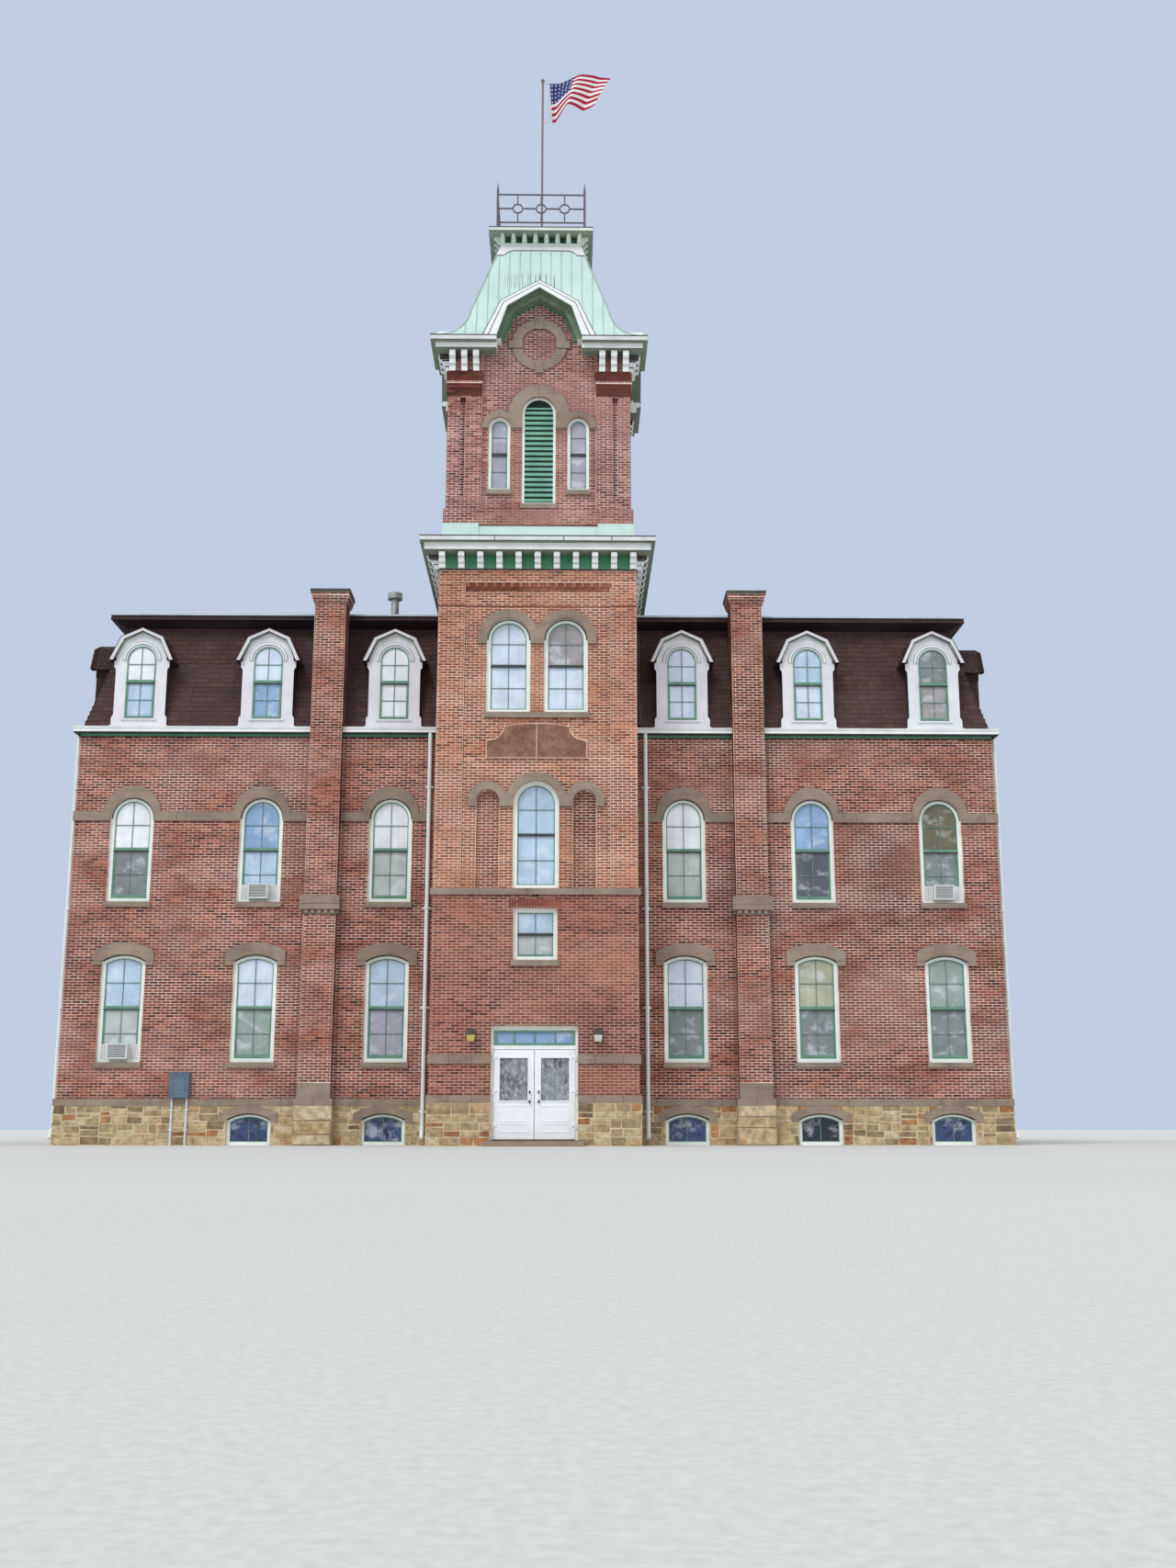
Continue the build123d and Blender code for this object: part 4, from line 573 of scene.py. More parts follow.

# Glass painted with what it mirrors: its tone picks a painted reflection of the sky or what lies behind it,
# with drapes, painted cloud reflections, a painted glint, and painted reflections of boughs in the darkest
# panes
pane_looks = {
    "night": (0.0, (30, 42, 56)), "deep": (0.07, (58, 78, 124)), "dusk": (0.15, (92, 94, 108)),
    "moss": (0.22, (112, 106, 86)), "slate": (0.3, (128, 138, 138)), "taupe": (0.38, (164, 158, 160)),
    "mauve": (0.46, (172, 172, 188)), "sage": (0.54, (152, 170, 164)), "haze": (0.62, (184, 194, 192)),
    "straw": (0.66, (178, 180, 154)), "blue": (0.7, (144, 176, 216)), "sky": (0.79, (188, 212, 236)),
    "bright": (0.88, (214, 228, 246)), "glare": (1.0, (242, 247, 252)),
}
paint = Paint("pane", 0.08)
# The layers: drapes, painted cloud reflections and a painted glint
glass = paint.cover(paint.ramp(list(pane_looks.values())), [
    (None, 0.35, 0.65, 0.93, 1.03, 2.6, 3, (2.2, 2.2, 0.12)),
    (None, 0.32, 0.68, 0.8, 1.1, 1.6, 6, None, 0.65),
    ((226, 232, 240), 0.52, 0.66, 0.0, 0.45, 2.2, 4, (1, 1, 1.4))])
# Painted reflections of boughs, in the darkest panes
bough_reflections = paint.patch(0.52, 0.58, 0.0, 0.8, 7, 7, (1, 1, 0.8), 0.7)
in_dark_panes = paint.between(paint.tone(), 0.1, 0.14, 1.0, 0.0)
paint.finish(paint.mix(paint.maths("MULTIPLY", bough_reflections, in_dark_panes), glass, (28, 36, 56)))

# Pale green metal, with a few dark streaks in one stretch of the front slope
paint = Paint("mint_roof", 0.55)
metal = paint.mix(paint.patch(0.3, 0.7, 0.0, 1.0, 1.2), (182, 210, 204), (202, 226, 220))
metal = paint.cover(metal, [((146, 174, 162), 0.55, 0.75, 0.0, 0.2, 1.6, 5, (3, 3, 0.25))])
streak = paint.patch(0.52, 0.6, 0.0, 0.85, 1.0, 1, (18, 0, 0.5))
for limit in ((-0.95, -0.85, 0.0, 1.0, "X"), (0.35, 0.5, 1.0, 0.0, "X"), (21.6, 21.75, 0.0, 1.0, "Z"),
              (22.1, 22.25, 1.0, 0.0, "Z"), (tower_y - 1.3, tower_y - 1.25, 1.0, 0.0, "Y")):
    streak = paint.maths("MULTIPLY", streak, paint.patch(*limit))
paint.finish(paint.mix(streak, metal, (88, 92, 84)), (20,))

# Flag: stripes and a starred corner by the sheet's own coordinates
corner_width, corner_height, stripes = 0.4, 7 / 13, 13
paint = Paint("flag", 0.85, 0.2)
sheet_place = paint.node("UVMap", {}, "UV")
across, down = (paint.axis(letter, sheet_place) for letter in "XY")
stripe = paint.maths("MODULO", paint.maths("FLOOR", paint.maths("MULTIPLY", down, stripes)), 2)
cloth = paint.mix(stripe, (170, 36, 56), (236, 232, 234))
corner = paint.maths("MULTIPLY", paint.maths("LESS_THAN", across, corner_width),
                     paint.maths("LESS_THAN", down, corner_height))
squares = []
for place, count in ((across, 6 / corner_width), (down, 5 / corner_height)):
    cell = paint.maths("SUBTRACT", paint.maths("FRACT", paint.maths("MULTIPLY", place, count)), 0.5)
    squares.append(paint.maths("MULTIPLY", cell, cell))
star = paint.maths("LESS_THAN", paint.maths("ADD", *squares), 0.05)
union = paint.mix(star, (48, 58, 110), (196, 200, 222))
paint.finish(paint.mix(corner, cloth, union), (300, 2), 0.0005)

finishes = {
    "wing_mortar": "front_wall_left front_wall_right left_wall right_wall back_wall chimneys",
    "tower_mortar": "tower_wall_beside_door tower_front_wall tower_side_walls tower_back_wall",
    "belfry_mortar": "belfry_front_wall belfry_back_wall belfry_side_walls belfry_base_course",
    "rubble_mortar": "foundation_front foundation_sides foundation_back tower_base_front tower_base_sides",
    "sandstone": "water_table window_stonework tower_stonework belfry_stonework chimney_stonework door_step",
    "tablet_stone": "name_tablet",
    "white_paint": "window_frames tower_window_frames door_frame",
    "white_worn": "tower_cornice belfry_cornice eaves",
    "pipe_white": "downspouts",
    "deck_pale": "roof_deck_cornice",
    "louvre_green": "belfry_louvres",
    "mint_roof": "tower_roof belfry_flashing",
    "shingle": "mansard_roof dormers",
    # The upper roof: dark brown, with painted shade under its edge
    "dark_fascia_and_shade": "upper_roof",
    "dark_metal": "upper_downspouts",
    "iron": "deck_railing",
    "pole_paint": "flagpole",
    "galvanised": "roof_vent",
    "door_white": "left_door right_door",
    "door_pane": "left_door_glass right_door_glass",
    "pane": "transom_glass window_glass tower_glass",
    "cabinet_paint": "meter_cabinet",
    "cooler_plastic": "window_coolers",
    "lamp_bronze": "wall_lamps",
    "floor_wood": "ground_floor first_floor second_floor third_floor",
    "rope": "halyard",
    "flag": "flag",
}
for name, nodes in finishes.items():
    for node in nodes.split():
        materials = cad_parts[node].data.materials
        materials.clear()
        materials.append(paints[name])

# Brickwork in running bond, cut round the openings
course = 0.0666
brick_length = 0.214
joint = 0.017
shortest = 0.03
lowest = 0.015
brick_proud = 0.006


def free_spans(u0, u1, blocked):
    """Spans between two places that no blocked span covers."""
    spans = []
    for a, b in sorted(blocked):
        if a > u0:
            spans.append((u0, min(a, u1)))
        u0 = max(u0, b)
    if u0 < u1:
        spans.append((u0, u1))
    return [(a, b) for a, b in spans if b - a > shortest]


def running_bond(u0, u1, z0, z1, openings=(), seed=1, reach=None):
    """Rows of bricks between two places and levels, as u0, u1, z0, z1, and a tone for each."""
    generator = np.random.default_rng(seed)
    rows = []
    shades = []
    for k in range(math.floor(z0 / course + 1e-6), math.ceil(z1 / course - 1e-6)):
        low = max(k * course, z0)
        high = min((k + 1) * course - joint, z1)
        shade = generator.normal(0, 0.06)
        if high - low < lowest:
            continue
        start, end = (max(u0, -reach(high)), min(u1, reach(high))) if reach else (u0, u1)
        blocked = [(w.u - half_at(w, low), w.u + half_at(w, low)) for w in openings
                   if low < w.head and high > w.sill]
        for a, b in free_spans(start, end, blocked):
            first = math.floor(a / brick_length) * brick_length - (k % 2) * brick_length / 2
            edges = np.unique(np.clip(np.arange(first, b + brick_length, brick_length), a, b))
            if len(edges) > 2 and edges[1] - edges[0] < shortest:
                edges = np.delete(edges, 1)
            if len(edges) > 2 and edges[-1] - edges[-2] < shortest:
                edges = np.delete(edges, -2)
            rows.extend((p + joint / 2, q - joint / 2, low, high) for p, q in zip(edges[:-1], edges[1:]))
            shades.extend([shade] * (len(edges) - 1))
    rows = np.array(rows).reshape(-1, 4)
    return rows, np.clip(generator.normal(0.5, 0.22, len(rows)) + np.array(shades), 0, 1)


def brickwork(shape, face, u0, u1, z0, z1, openings=(), seed=1, proud=brick_proud, tone=0.0, reach=None):
    """Bricks on a face between two places and levels."""
    rows, tones = running_bond(*ordered(u0, u1), z0, z1, openings, seed, reach)
    shape.boxes(face, rows, -0.002, proud, np.clip(tones + tone, 0, 1))


def raised_bricks(shape, backing, face, u0, u1, z0, z1, proud, seed, tone=0.0):
    """Bricks that stand out from a face on their own bed of mortar."""
    u0, u1 = ordered(u0, u1)
    edge = joint / 2 + 0.002
    backing.box(face, u0 + edge, u1 - edge, z0, z1 - 0.002, -0.001, proud - brick_proud)
    brickwork(shape, face, u0, u1, z0, z1, seed=seed, proud=proud, tone=tone)


for k, (name, (face, half, columns, _)) in enumerate(zip(("front", "right", "back", "left"), block)):
    openings = [at(w, u) for u in columns for w in (first_window, second_window)]
    walls = Shape()
    for a, b, side in stretches(face, half):
        brickwork(walls, face, a, b, wall_low, wall_high, openings, 11 + k + side)
    walls.build(f"bricks_{name}", "wing_brick", "brick")

# The tower's front: a darker shaft below and the recessed panel above
low_bricks = Shape()
high_bricks = Shape()
shadow_line = (12.74, 12.775)
soldier_half = 0.62
for side in (-1, 1):
    jamb, corner_u, panel_edge = side * door_half, side * tower_half, side * panel_half
    brickwork(low_bricks, tower_front, jamb, corner_u, tower_brick_low, door_belt_low, seed=21 + side,
              tone=0.1)
    brickwork(low_bricks, tower_front, jamb, corner_u, door_belt_high, door_head, seed=24 + side)
    brickwork(high_bricks, tower_front, panel_edge, corner_u, panel_low, panel_high, seed=31 + side,
              tone=0.05)
    # The panel's side reveals are darker, painted shade
    brickwork(high_bricks, wall_face(panel_edge, tower_front_y, -side, 0), 0, -side * panel_depth,
              panel_low, panel_high, seed=34 + side, tone=-0.2)
    high_bricks.box(tower_front, panel_edge, corner_u, *shadow_line, -0.002, 0.01, 0.05)
brickwork(low_bricks, tower_front, -tower_half, tower_half, door_head, tower_belt_low, [stair_window],
          seed=26)
for niche in niches:
    half = niche.width / 2
    # The bricks in a niche are darker, painted shade in its recess
    rows, tones = running_bond(niche.u - half, niche.u + half, niche.sill, niche.head, seed=28)
    keep = [abs((r[0] + r[1]) / 2 - niche.u) < half_at(niche, r[2]) for r in rows]
    low_bricks.boxes(moved(tower_front, -niche_depth), rows[keep], -0.002, brick_proud, tones[keep] * 0.7)
soldiers = [(u, u + course - joint, stair_window.head + 0.006, stair_window.head + 0.21)
            for u in np.arange(-soldier_half, soldier_half, course)]
low_bricks.boxes(tower_front, soldiers, -0.002, brick_proud + 0.004, np.linspace(0.4, 0.7, len(soldiers)))
low_bricks.build("bricks_tower_low", "low_brick", "brick")

brickwork(high_bricks, tower_front, -tower_half, tower_half, panel_high, tower_brick_top, seed=36, tone=0.05)
brickwork(high_bricks, recessed, -panel_half, panel_half, panel_low, tablet_low, [tower_window, *niches],
          seed=37)
brickwork(high_bricks, recessed, -panel_half, panel_half, tablet_low, panel_high, paired_windows, seed=38)
dentil_pitch = brick_length / 2
dentils = [(u, u + dentil_pitch - joint, panel_high - 0.12, panel_high - 0.004)
           for u in np.arange(-panel_half + joint, panel_half - dentil_pitch / 2, dentil_pitch)]
# Set-back dentils are darker and a dark course runs under the row: painted shade and painted shadow
high_bricks.boxes(recessed, dentils[::2], -0.002, panel_depth, 0.55)
high_bricks.boxes(recessed, dentils[1::2], -0.002, panel_depth / 2, 0.15)
high_bricks.box(recessed, -panel_half, panel_half, panel_high - 0.2, panel_high - 0.14, -0.002, 0.02, 0.05)
high_bricks.box(recessed, -panel_half, panel_half, *shadow_line, -0.002, 0.01, 0.05)
high_bricks.build("bricks_tower_front", "tower_brick", "brick")

tower_sides = Shape()
over_deck = deck_top + 0.01
for quarter, side in ((1, -1), (3, 1)):
    face = tower_faces[quarter]
    outer, wall = side * tower_half, side * (tower_half - tower_projection)
    for a, b, low, high, seed in (
            (outer, wall, tower_brick_low, tower_belt_low, 40), (outer, wall, panel_low, over_deck, 42),
            (-tower_half, tower_half, over_deck, tower_brick_top, 45),
            (wall, wall - side * mansard_lean, eaves_top, over_deck, 48)):
        brickwork(tower_sides, face, a, b, low, high, seed=seed + quarter)
brickwork(tower_sides, tower_faces[2], -tower_half, tower_half, over_deck, tower_brick_top, seed=49)
tower_sides.build("bricks_tower_sides", "tower_brick", "brick")

# The belfry: recessed middle, raised pilasters with a groove, their corbelled caps and the base course
belfry_bricks = Shape()
belfry_beds = Shape()
cap_bricks = Shape()
cap_beds = Shape()
corner_metal = Shape()
groove = (1.84, 1.96)
groove_levels = (15.6, 18.25)
groove_low, groove_high = groove_levels
strip_proud = 0.035
cap_courses = [(18.3, 18.36, 0.05, -0.5), (18.36, 18.62, 0.06, -0.2), (18.62, 18.685, 0.085, 0.5),
               (18.685, 18.95, 0.07, -0.25)]
base_inner = belfry_inner + 0.1
metal_start = 1.46


def gable_reach(level):
    """Half the width of the belfry's gable wall at a level."""
    return float(np.interp(level, (19.75, 19.751, 20.52, 20.87), (verge_foot, 0.95, 0.645, 0.0)))


for quarter, face in enumerate(belfry_faces):
    seed = 50 + 20 * quarter
    corners = quarter % 2 == 0
    sunk = moved(face, -belfry_recess)
    base = moved(face, belfry_base_proud)
    brickwork(belfry_bricks, sunk, -belfry_inner, belfry_inner, belfry_recess_low, belfry_wall_top,
              [louvre_window, *side_lights], seed)
    brickwork(belfry_bricks, sunk, -belfry_inner, belfry_inner, belfry_wall_top, 20.85, seed=seed + 1,
              reach=gable_reach)
    end = belfry_half + strip_proud * corners
    strips = [(belfry_inner, groove[0], *groove_levels), (groove[1], end, *groove_levels),
              (belfry_inner, end, belfry_low, groove_low),
              (belfry_inner, end, groove_high, cap_courses[0][0])]
    for side in (-1, 1):
        for n, (a, b, low, high) in enumerate(strips):
            raised_bricks(belfry_bricks, belfry_beds, face, side * a, side * b, low, high, strip_proud,
                          seed + 3 + n + 5 * side)
        groove_ends = (side * groove[0], side * groove[1])
        # The groove's bricks are darker and the strip at its top darkest: painted shade in the groove and
        # painted shadow under the caps
        brickwork(cap_bricks, face, *groove_ends, *groove_levels, seed=seed + 12, tone=-0.4)
        cap_bricks.box(face, *groove_ends, groove_high - 0.13, groove_high, -0.001, 0.012, 0.0)
        for n, (low, high, proud, tone) in enumerate(cap_courses):
            shape, bed = (belfry_bricks, belfry_beds) if tone > 0 else (cap_bricks, cap_beds)
            raised_bricks(shape, bed, face, side * (belfry_inner - 0.01 * n),
                          side * (belfry_half + proud * corners), low, high, proud, seed + 13 + n, tone)
        brickwork(belfry_bricks, face, side * belfry_inner, side * belfry_half, belfry_bracket_low + 0.01,
                  belfry_wall_top, seed=seed + 18, tone=-0.1)
        raised_bricks(belfry_bricks, belfry_beds, base, side * base_inner,
                      side * (belfry_half + belfry_base_proud), belfry_base_low, belfry_low, 0.03, seed + 19)
        corner_metal.box(base, side * metal_start, side * (belfry_half + 0.105 * corners), cornice_top + 0.01,
                         belfry_base_low + 0.05, 0.0, 0.045)
    brickwork(belfry_bricks, base, -base_inner, base_inner, belfry_base_low, belfry_low, seed=seed + 2,
              tone=0.1)
    belfry_bricks.box(base, -belfry_half, belfry_half, belfry_base_low, belfry_base_low + 0.04,
                      -0.002, 0.012, 0.0)
belfry_bricks.build("bricks_belfry", "belfry_brick", "brick")
cap_bricks.build("bricks_belfry_caps", "cap_brick", "brick")
cap_beds.build("belfry_cap_beds", "joint_dark", "brick")
corner_metal.build("flashing_corners", "mint_roof", "roof_metal")
belfry_beds.build("belfry_pilaster_beds", "belfry_mortar", "brick")

# The chimneys: brick faces, corbels, dentils under the bands and dark metal over the caps
chimney_bricks = Shape()
dentil_stones = Shape()
cap_metal = Shape()
corbel_height = (stack_top - corbel_low) / len(corbel_reaches)
cap_reach = 0.11
cap_levels = (stack_top + 0.02, stack_top + 0.094)
dentil_levels = (5.47, 5.56)
dentil_width = 0.085
for side in (-1, 1):
    x = side * chimney_x
    rear = wall_face(x, front_y + pier_back, 0, 1)
    for low, high, seed, tone in ((pier_block_top, band_low, 140, 0.1), (band_high, corbel_low, 143, 0.05)):
        brickwork(chimney_bricks, pier_front, x - pier_half, x + pier_half, low, high, seed=seed + side,
                  tone=tone)
    brickwork(chimney_bricks, rear, -pier_half, pier_half, deck_top, corbel_low, seed=145)
    for u in np.arange(x - pier_half + 0.02, x + pier_half - 0.05, 0.158):
        dentil_stones.box(pier_front, u, u + dentil_width, *dentil_levels, -0.002, 0.06)
    half = pier_half + cap_reach + 0.004
    cap_metal.box(moved(pier_front, cap_reach), x - half, x + half, *cap_levels, -0.06, 0.006)
    for way in (-1, 1):
        for low, high, seed, start in ((pier_block_top, band_low, 146, 0), (band_high, eaves_top, 149, 0),
                                       (eaves_top, corbel_low, 152, pier_back)):
            # The cheeks' bricks are darker: painted shade on the sides
            brickwork(chimney_bricks, cheek(x, way), way * start, -way * pier_projection, low, high,
                      seed=seed + way, tone=-0.15)
        for y in (0.03, 0.19):
            dentil_stones.box(cheek(x, way), -way * y, -way * (y + dentil_width), *dentil_levels,
                              -0.002, 0.06)
        cap_metal.box(cheek(x, way, pier_half + cap_reach), way * (pier_back + cap_reach),
                      -way * (pier_projection + cap_reach), *cap_levels, -0.06, 0.006)
    for n, reach in enumerate(corbel_reaches):
        low = corbel_low + n * corbel_height
        high = low + corbel_height - 0.004
        half = pier_half + reach
        # The corbel courses go from dark at the bottom to light at the top: painted shade under the overhang
        # and painted light on top
        brickwork(chimney_bricks, moved(pier_front, reach), x - half, x + half, low, high,
                  seed=155 + n, tone=-0.2 + 0.2 * n)
        brickwork(chimney_bricks, moved(rear, reach), -half, half, low, high, seed=158 + n)
        for way in (-1, 1):
            brickwork(chimney_bricks, cheek(x, way, half), way * (pier_back + reach),
                      -way * (pier_projection + reach), low, high, seed=161 + n)
chimney_bricks.build("bricks_chimneys", "wing_brick", "brick")

# Rubble stones, cut round the basement windows
stone_joint = 0.024
mixed_tones = (0.0, 1.0)
block_tones = (0.5, 0.72)
corner_signs = np.array([(1, 1), (-1, 1), (-1, -1), (1, -1)])


def split_stones(u0, u1, z0, z1, generator, widest, highest):
    """Splits a stretch of wall into stones of uneven sizes."""
    w, h = u1 - u0, z1 - z0
    if w <= widest and h <= highest:
        return [(u0, u1, z0, z1)]
    share = generator.uniform(0.35, 0.65)
    if w / widest > h / highest:
        middle = u0 + w * share
        halves = [(u0, middle, z0, z1), (middle, u1, z0, z1)]
    else:
        middle = z0 + h * share
        halves = [(u0, u1, z0, middle), (u0, u1, middle, z1)]
    return [s for half in halves for s in split_stones(*half, generator, widest, highest)]


def rubble_wall(face, u0, u1, top_level, openings=(), seed=1, widest=0.5, highest=0.23, tones=mixed_tones):
    """Uneven stones on a face, each with chamfered edges and a slight tilt."""
    generator = np.random.default_rng(seed)
    placed = []
    for start, end, low, high in split_stones(*ordered(u0, u1), 0.0, top_level, generator, widest, highest):
        blocked = [(w.u - w.width / 2, w.u + w.width / 2) for w in openings if low < w.head - 0.03]
        placed += [oblong(a, b, low, high) for a, b in free_spans(start, end, blocked) if b - a > 0.06]
    for corners in placed:
        shift = generator.uniform(-0.012, 0.012, (4, 2))
        shift[:, 1] = np.maximum(shift[:, 1], 0.004 - corners[0][1])
        foot = np.array(corners) + corner_signs * stone_joint / 2 + shift
        head = foot + corner_signs * 0.01
        proud = generator.uniform(0.006, 0.016)
        tilt = generator.uniform(-0.003, 0.003, 4)
        base = face.origin + foot[:, :1] * face.u + foot[:, 1:] * face.v - 0.003 * face.n
        top = face.origin + head[:, :1] * face.u + head[:, 1:] * face.v + (proud + tilt)[:, None] * face.n
        tone = generator.uniform(*tones)
        if tones == mixed_tones and generator.uniform() < 0.5:
            tone = generator.normal(0.5, 0.12)
        stones.add(np.concatenate([base, top]), box_quads.tolist(), tone)


stones = Shape()
for n, (face, half, _, columns) in enumerate(block):
    openings = [at(basement_window, u) for u in columns]
    seed = 193 + n if n else 190
    for a, b, side in stretches(face, half + foundation_proud, tower_half + tower_base_proud, pier_base_half):
        rubble_wall(moved(face, foundation_proud), a, b, foundation_top, openings, seed + side)
for side in (-1, 1):
    edge = tower_half + tower_base_proud
    rubble_wall(moved(tower_front, tower_base_proud), side * door_half, side * edge, tower_base_top,
                seed=200 + side, widest=0.6, highest=0.26)
    rubble_wall(wall_face(side * edge, tower_front_y, side, 0), side * -tower_base_proud, side * 1.76,
                tower_base_top, seed=203 + side)
    x = side * chimney_x
    rubble_wall(moved(pier_front, foundation_proud), x - pier_base_half, x + pier_base_half, foundation_top,
                seed=206 + side, widest=0.92, highest=0.5, tones=block_tones)
    for way in (-1, 1):
        rubble_wall(cheek(x, way, pier_base_half), way * -foundation_proud,
                    way * -(pier_projection + foundation_proud), foundation_top, seed=209 + way, widest=0.4,
                    highest=0.5, tones=block_tones)
stones.build("rubble_stones", "rubble", "rubble")

# Joints in the stone courses, hoods and bands
joints = Shape()
joint_half = 0.004
joint_proud = 0.002


def upright_joints(face, proud, places, low, high):
    """Upright joints of a course that stands out from a face."""
    rows = [(u - joint_half, u + joint_half, low, high) for u in places]
    joints.boxes(moved(face, proud), rows, 0.0, joint_proud)


def beside_tower(face, places, clear):
    """Places on a face that aren't behind the tower or a chimney."""
    return [u for u in places if face is not front
            or abs(u) > tower_half + 0.1 and abs(abs(u) - chimney_x) > clear]


generator = np.random.default_rng(3)
for face, half, columns, _ in block:
    places = [u + generator.uniform(-0.1, 0.1) for u in np.arange(-half + 0.8, half - 0.5, 1.5)]
    upright_joints(face, table_proud, beside_tower(face, places, 0.5), foundation_top, wall_low)
    upright_joints(face, 0.05, beside_tower(face, [u + 1.1 for u in columns], 0.45), 7.78, 8.01)
    for ear in [u + s * 0.62 for u in columns for s in (-1, 1)]:
        joints.box(moved(face, 0.05), ear - 0.1, ear + 0.1, 4.345, 4.352, 0.0, joint_proud)
for places, low, high, proud in (
        ((-1.95, -1.42, 1.38, 2.02), tower_base_top, tower_brick_low, 0.06),
        ((-1.95, -1.42, 1.38, 2.02), door_belt_low, door_belt_high, 0.045),
        ((-1.3, -0.2, 1.1), tower_belt_low, panel_low, 0.06),
        ((-0.69, 0.69), 12.454, 12.65, 0.04), ((0,), 8.434, 8.62, 0.04)):
    upright_joints(tower_front, proud, places, low, high)
for face in belfry_faces:
    upright_joints(face, 0.04, (0,), 18.295, 18.58)
    upright_joints(face, 0.04, (-0.98, 0.98), 17.744, 17.9)
    for side in (-1, 1):
        joints.box(face, side * 0.46, side * 0.685, 19.6, 19.608, 0.0, joint_proud)
for x in (-chimney_x, chimney_x):
    upright_joints(pier_front, foundation_proud, (x,), foundation_top, wall_low)
    joints.box(moved(pier_front, 0.09), x - 0.47, x + 0.47, 5.69, 5.7, 0.0, joint_proud)
joints.build("stone_joints", "joint_dark", "sandstone")
dentil_stones.build("chimney_dentils", "sandstone", "sandstone")

# The cream edge round the tablet
tablet_edge = Shape()
tablet = symmetric([(1.18, tablet_low), (1.18, 9.39), (1.0, 9.43), (0.9, 9.48), (0.82, 9.56), (0.77, 9.7),
                    (0.77, 9.74), (0.4, 9.79), (0, 9.81)])
grown = [(u * 1.018, v + (0.018 if v > 9.2 else -0.018)) for u, v in tablet]
tablet_edge.plate(tower_front, grown, [tablet], -panel_depth, 0.012)
tablet_edge.box(moved(tower_front, 0.03), -0.006, 0.006, tablet_low, 9.8, -0.001, 0.002)
tablet_edge.build("tablet_edge", "tower_mortar", "sandstone")
cap_metal.build("chimney_cap_metal", "edge_dark", "sandstone")

# Shingles on the mansard, in rows
shingle_row = 0.14
slope_length = math.hypot(mansard_lean, mansard_high - mansard_low)
slope_rise = (mansard_high - mansard_low) / slope_length
shingle_quads = [[4, 5, 6, 7], [0, 1, 5, 4], [1, 2, 6, 5], [3, 0, 4, 7]]


def dormer_reach(level):
    """Half the width that a dormer covers on the slope at a level."""
    return float(np.interp(level, (11.8, 11.87, 12.48, 12.72), (0.64, 0.8, 0.52, 0.0))) - 0.02


shingles = Shape()
generator = np.random.default_rng(5)
for face, half, columns, _ in block:
    foot = face.origin - face.n * mansard_inset + face.v * mansard_low
    up = face.v * slope_rise - face.n * mansard_lean / slope_length
    out = np.cross(face.u, up)
    for k in range(int(slope_length / shingle_row)):
        low = k * shingle_row
        level = mansard_low + low * slope_rise
        reach = half - mansard_inset - mansard_lean * low / slope_length
        blocked = [(u - dormer_reach(level), u + dormer_reach(level)) for u in columns if level < 12.6]
        if face is front:
            blocked += [(-tower_half, tower_half)]
            blocked += [(x - pier_half, x + pier_half) for x in (-chimney_x, chimney_x)]
        for a, b in free_spans(-reach, reach, blocked):
            count = max(1, round((b - a) / 0.3))
            edges = np.linspace(a, b, count + 1) + np.r_[0, generator.uniform(-0.05, 0.05, count - 1), 0]
            for p, q in zip(edges[:-1], edges[1:]):
                lift = generator.uniform(0.008, 0.012)
                uv = np.array(oblong(p, q - 0.004, low - generator.uniform(0, 0.008), low + shingle_row))
                base = foot + uv[:, :1] * face.u + uv[:, 1:] * up
                heights = np.array([lift, lift, 0.001, 0.001])[:, None]
                points = np.concatenate([base - 0.002 * out, base + heights * out])
                shingles.add(points, shingle_quads, generator.uniform(0.35, 0.7))
shingles.build("mansard_shingles", "shingle", "shingle")

# The upper roof's edge metal, its trim and its flat roofing
roof_edge = Shape()
roof_edge.ring(block_plan, deck_half, deck_half_depth, 0.012, deck_top - 0.045, deck_top)
roof_edge.build("roof_edge_metal", "pale_metal", "roof_metal")
roof_trim = Shape()
roof_trim.ring(block_plan, deck_half, deck_half_depth, 0.01, deck_edge_low, deck_edge_low + 0.03)
roof_trim.ring(block_plan, deck_half - 0.38, deck_half_depth - 0.38, 0.03, 12.9, mansard_high)
roof_trim.build("roof_edge_trim", "shingle", "shingle")
roofing = Shape()
tower_rear = tower_y + tower_half - middle_y
half_notched = [(tower_half, tower_rear), (tower_half, -deck_half_depth), (deck_half, -deck_half_depth),
                (deck_half, deck_half_depth)]
notched = half_notched + [(-u, v) for u, v in half_notched[::-1]]
roofing.plate(block_plan, notched, [], deck_top - 0.001, deck_top + 0.004)
roofing.build("deck_roofing", "deck_roofing", "shingle")

# Sashes, glazing bars, painted shadows at the meeting rails and under the window heads, and panes
sash_width = 0.022
stile_width = 0.046
lip_width = 0.018
bar = 0.018
sashes = Shape()
casing_lips = Shape()
head_shadows = Shape()
bars = Shape()
rail_shadows = Shape()
panes = Shape()


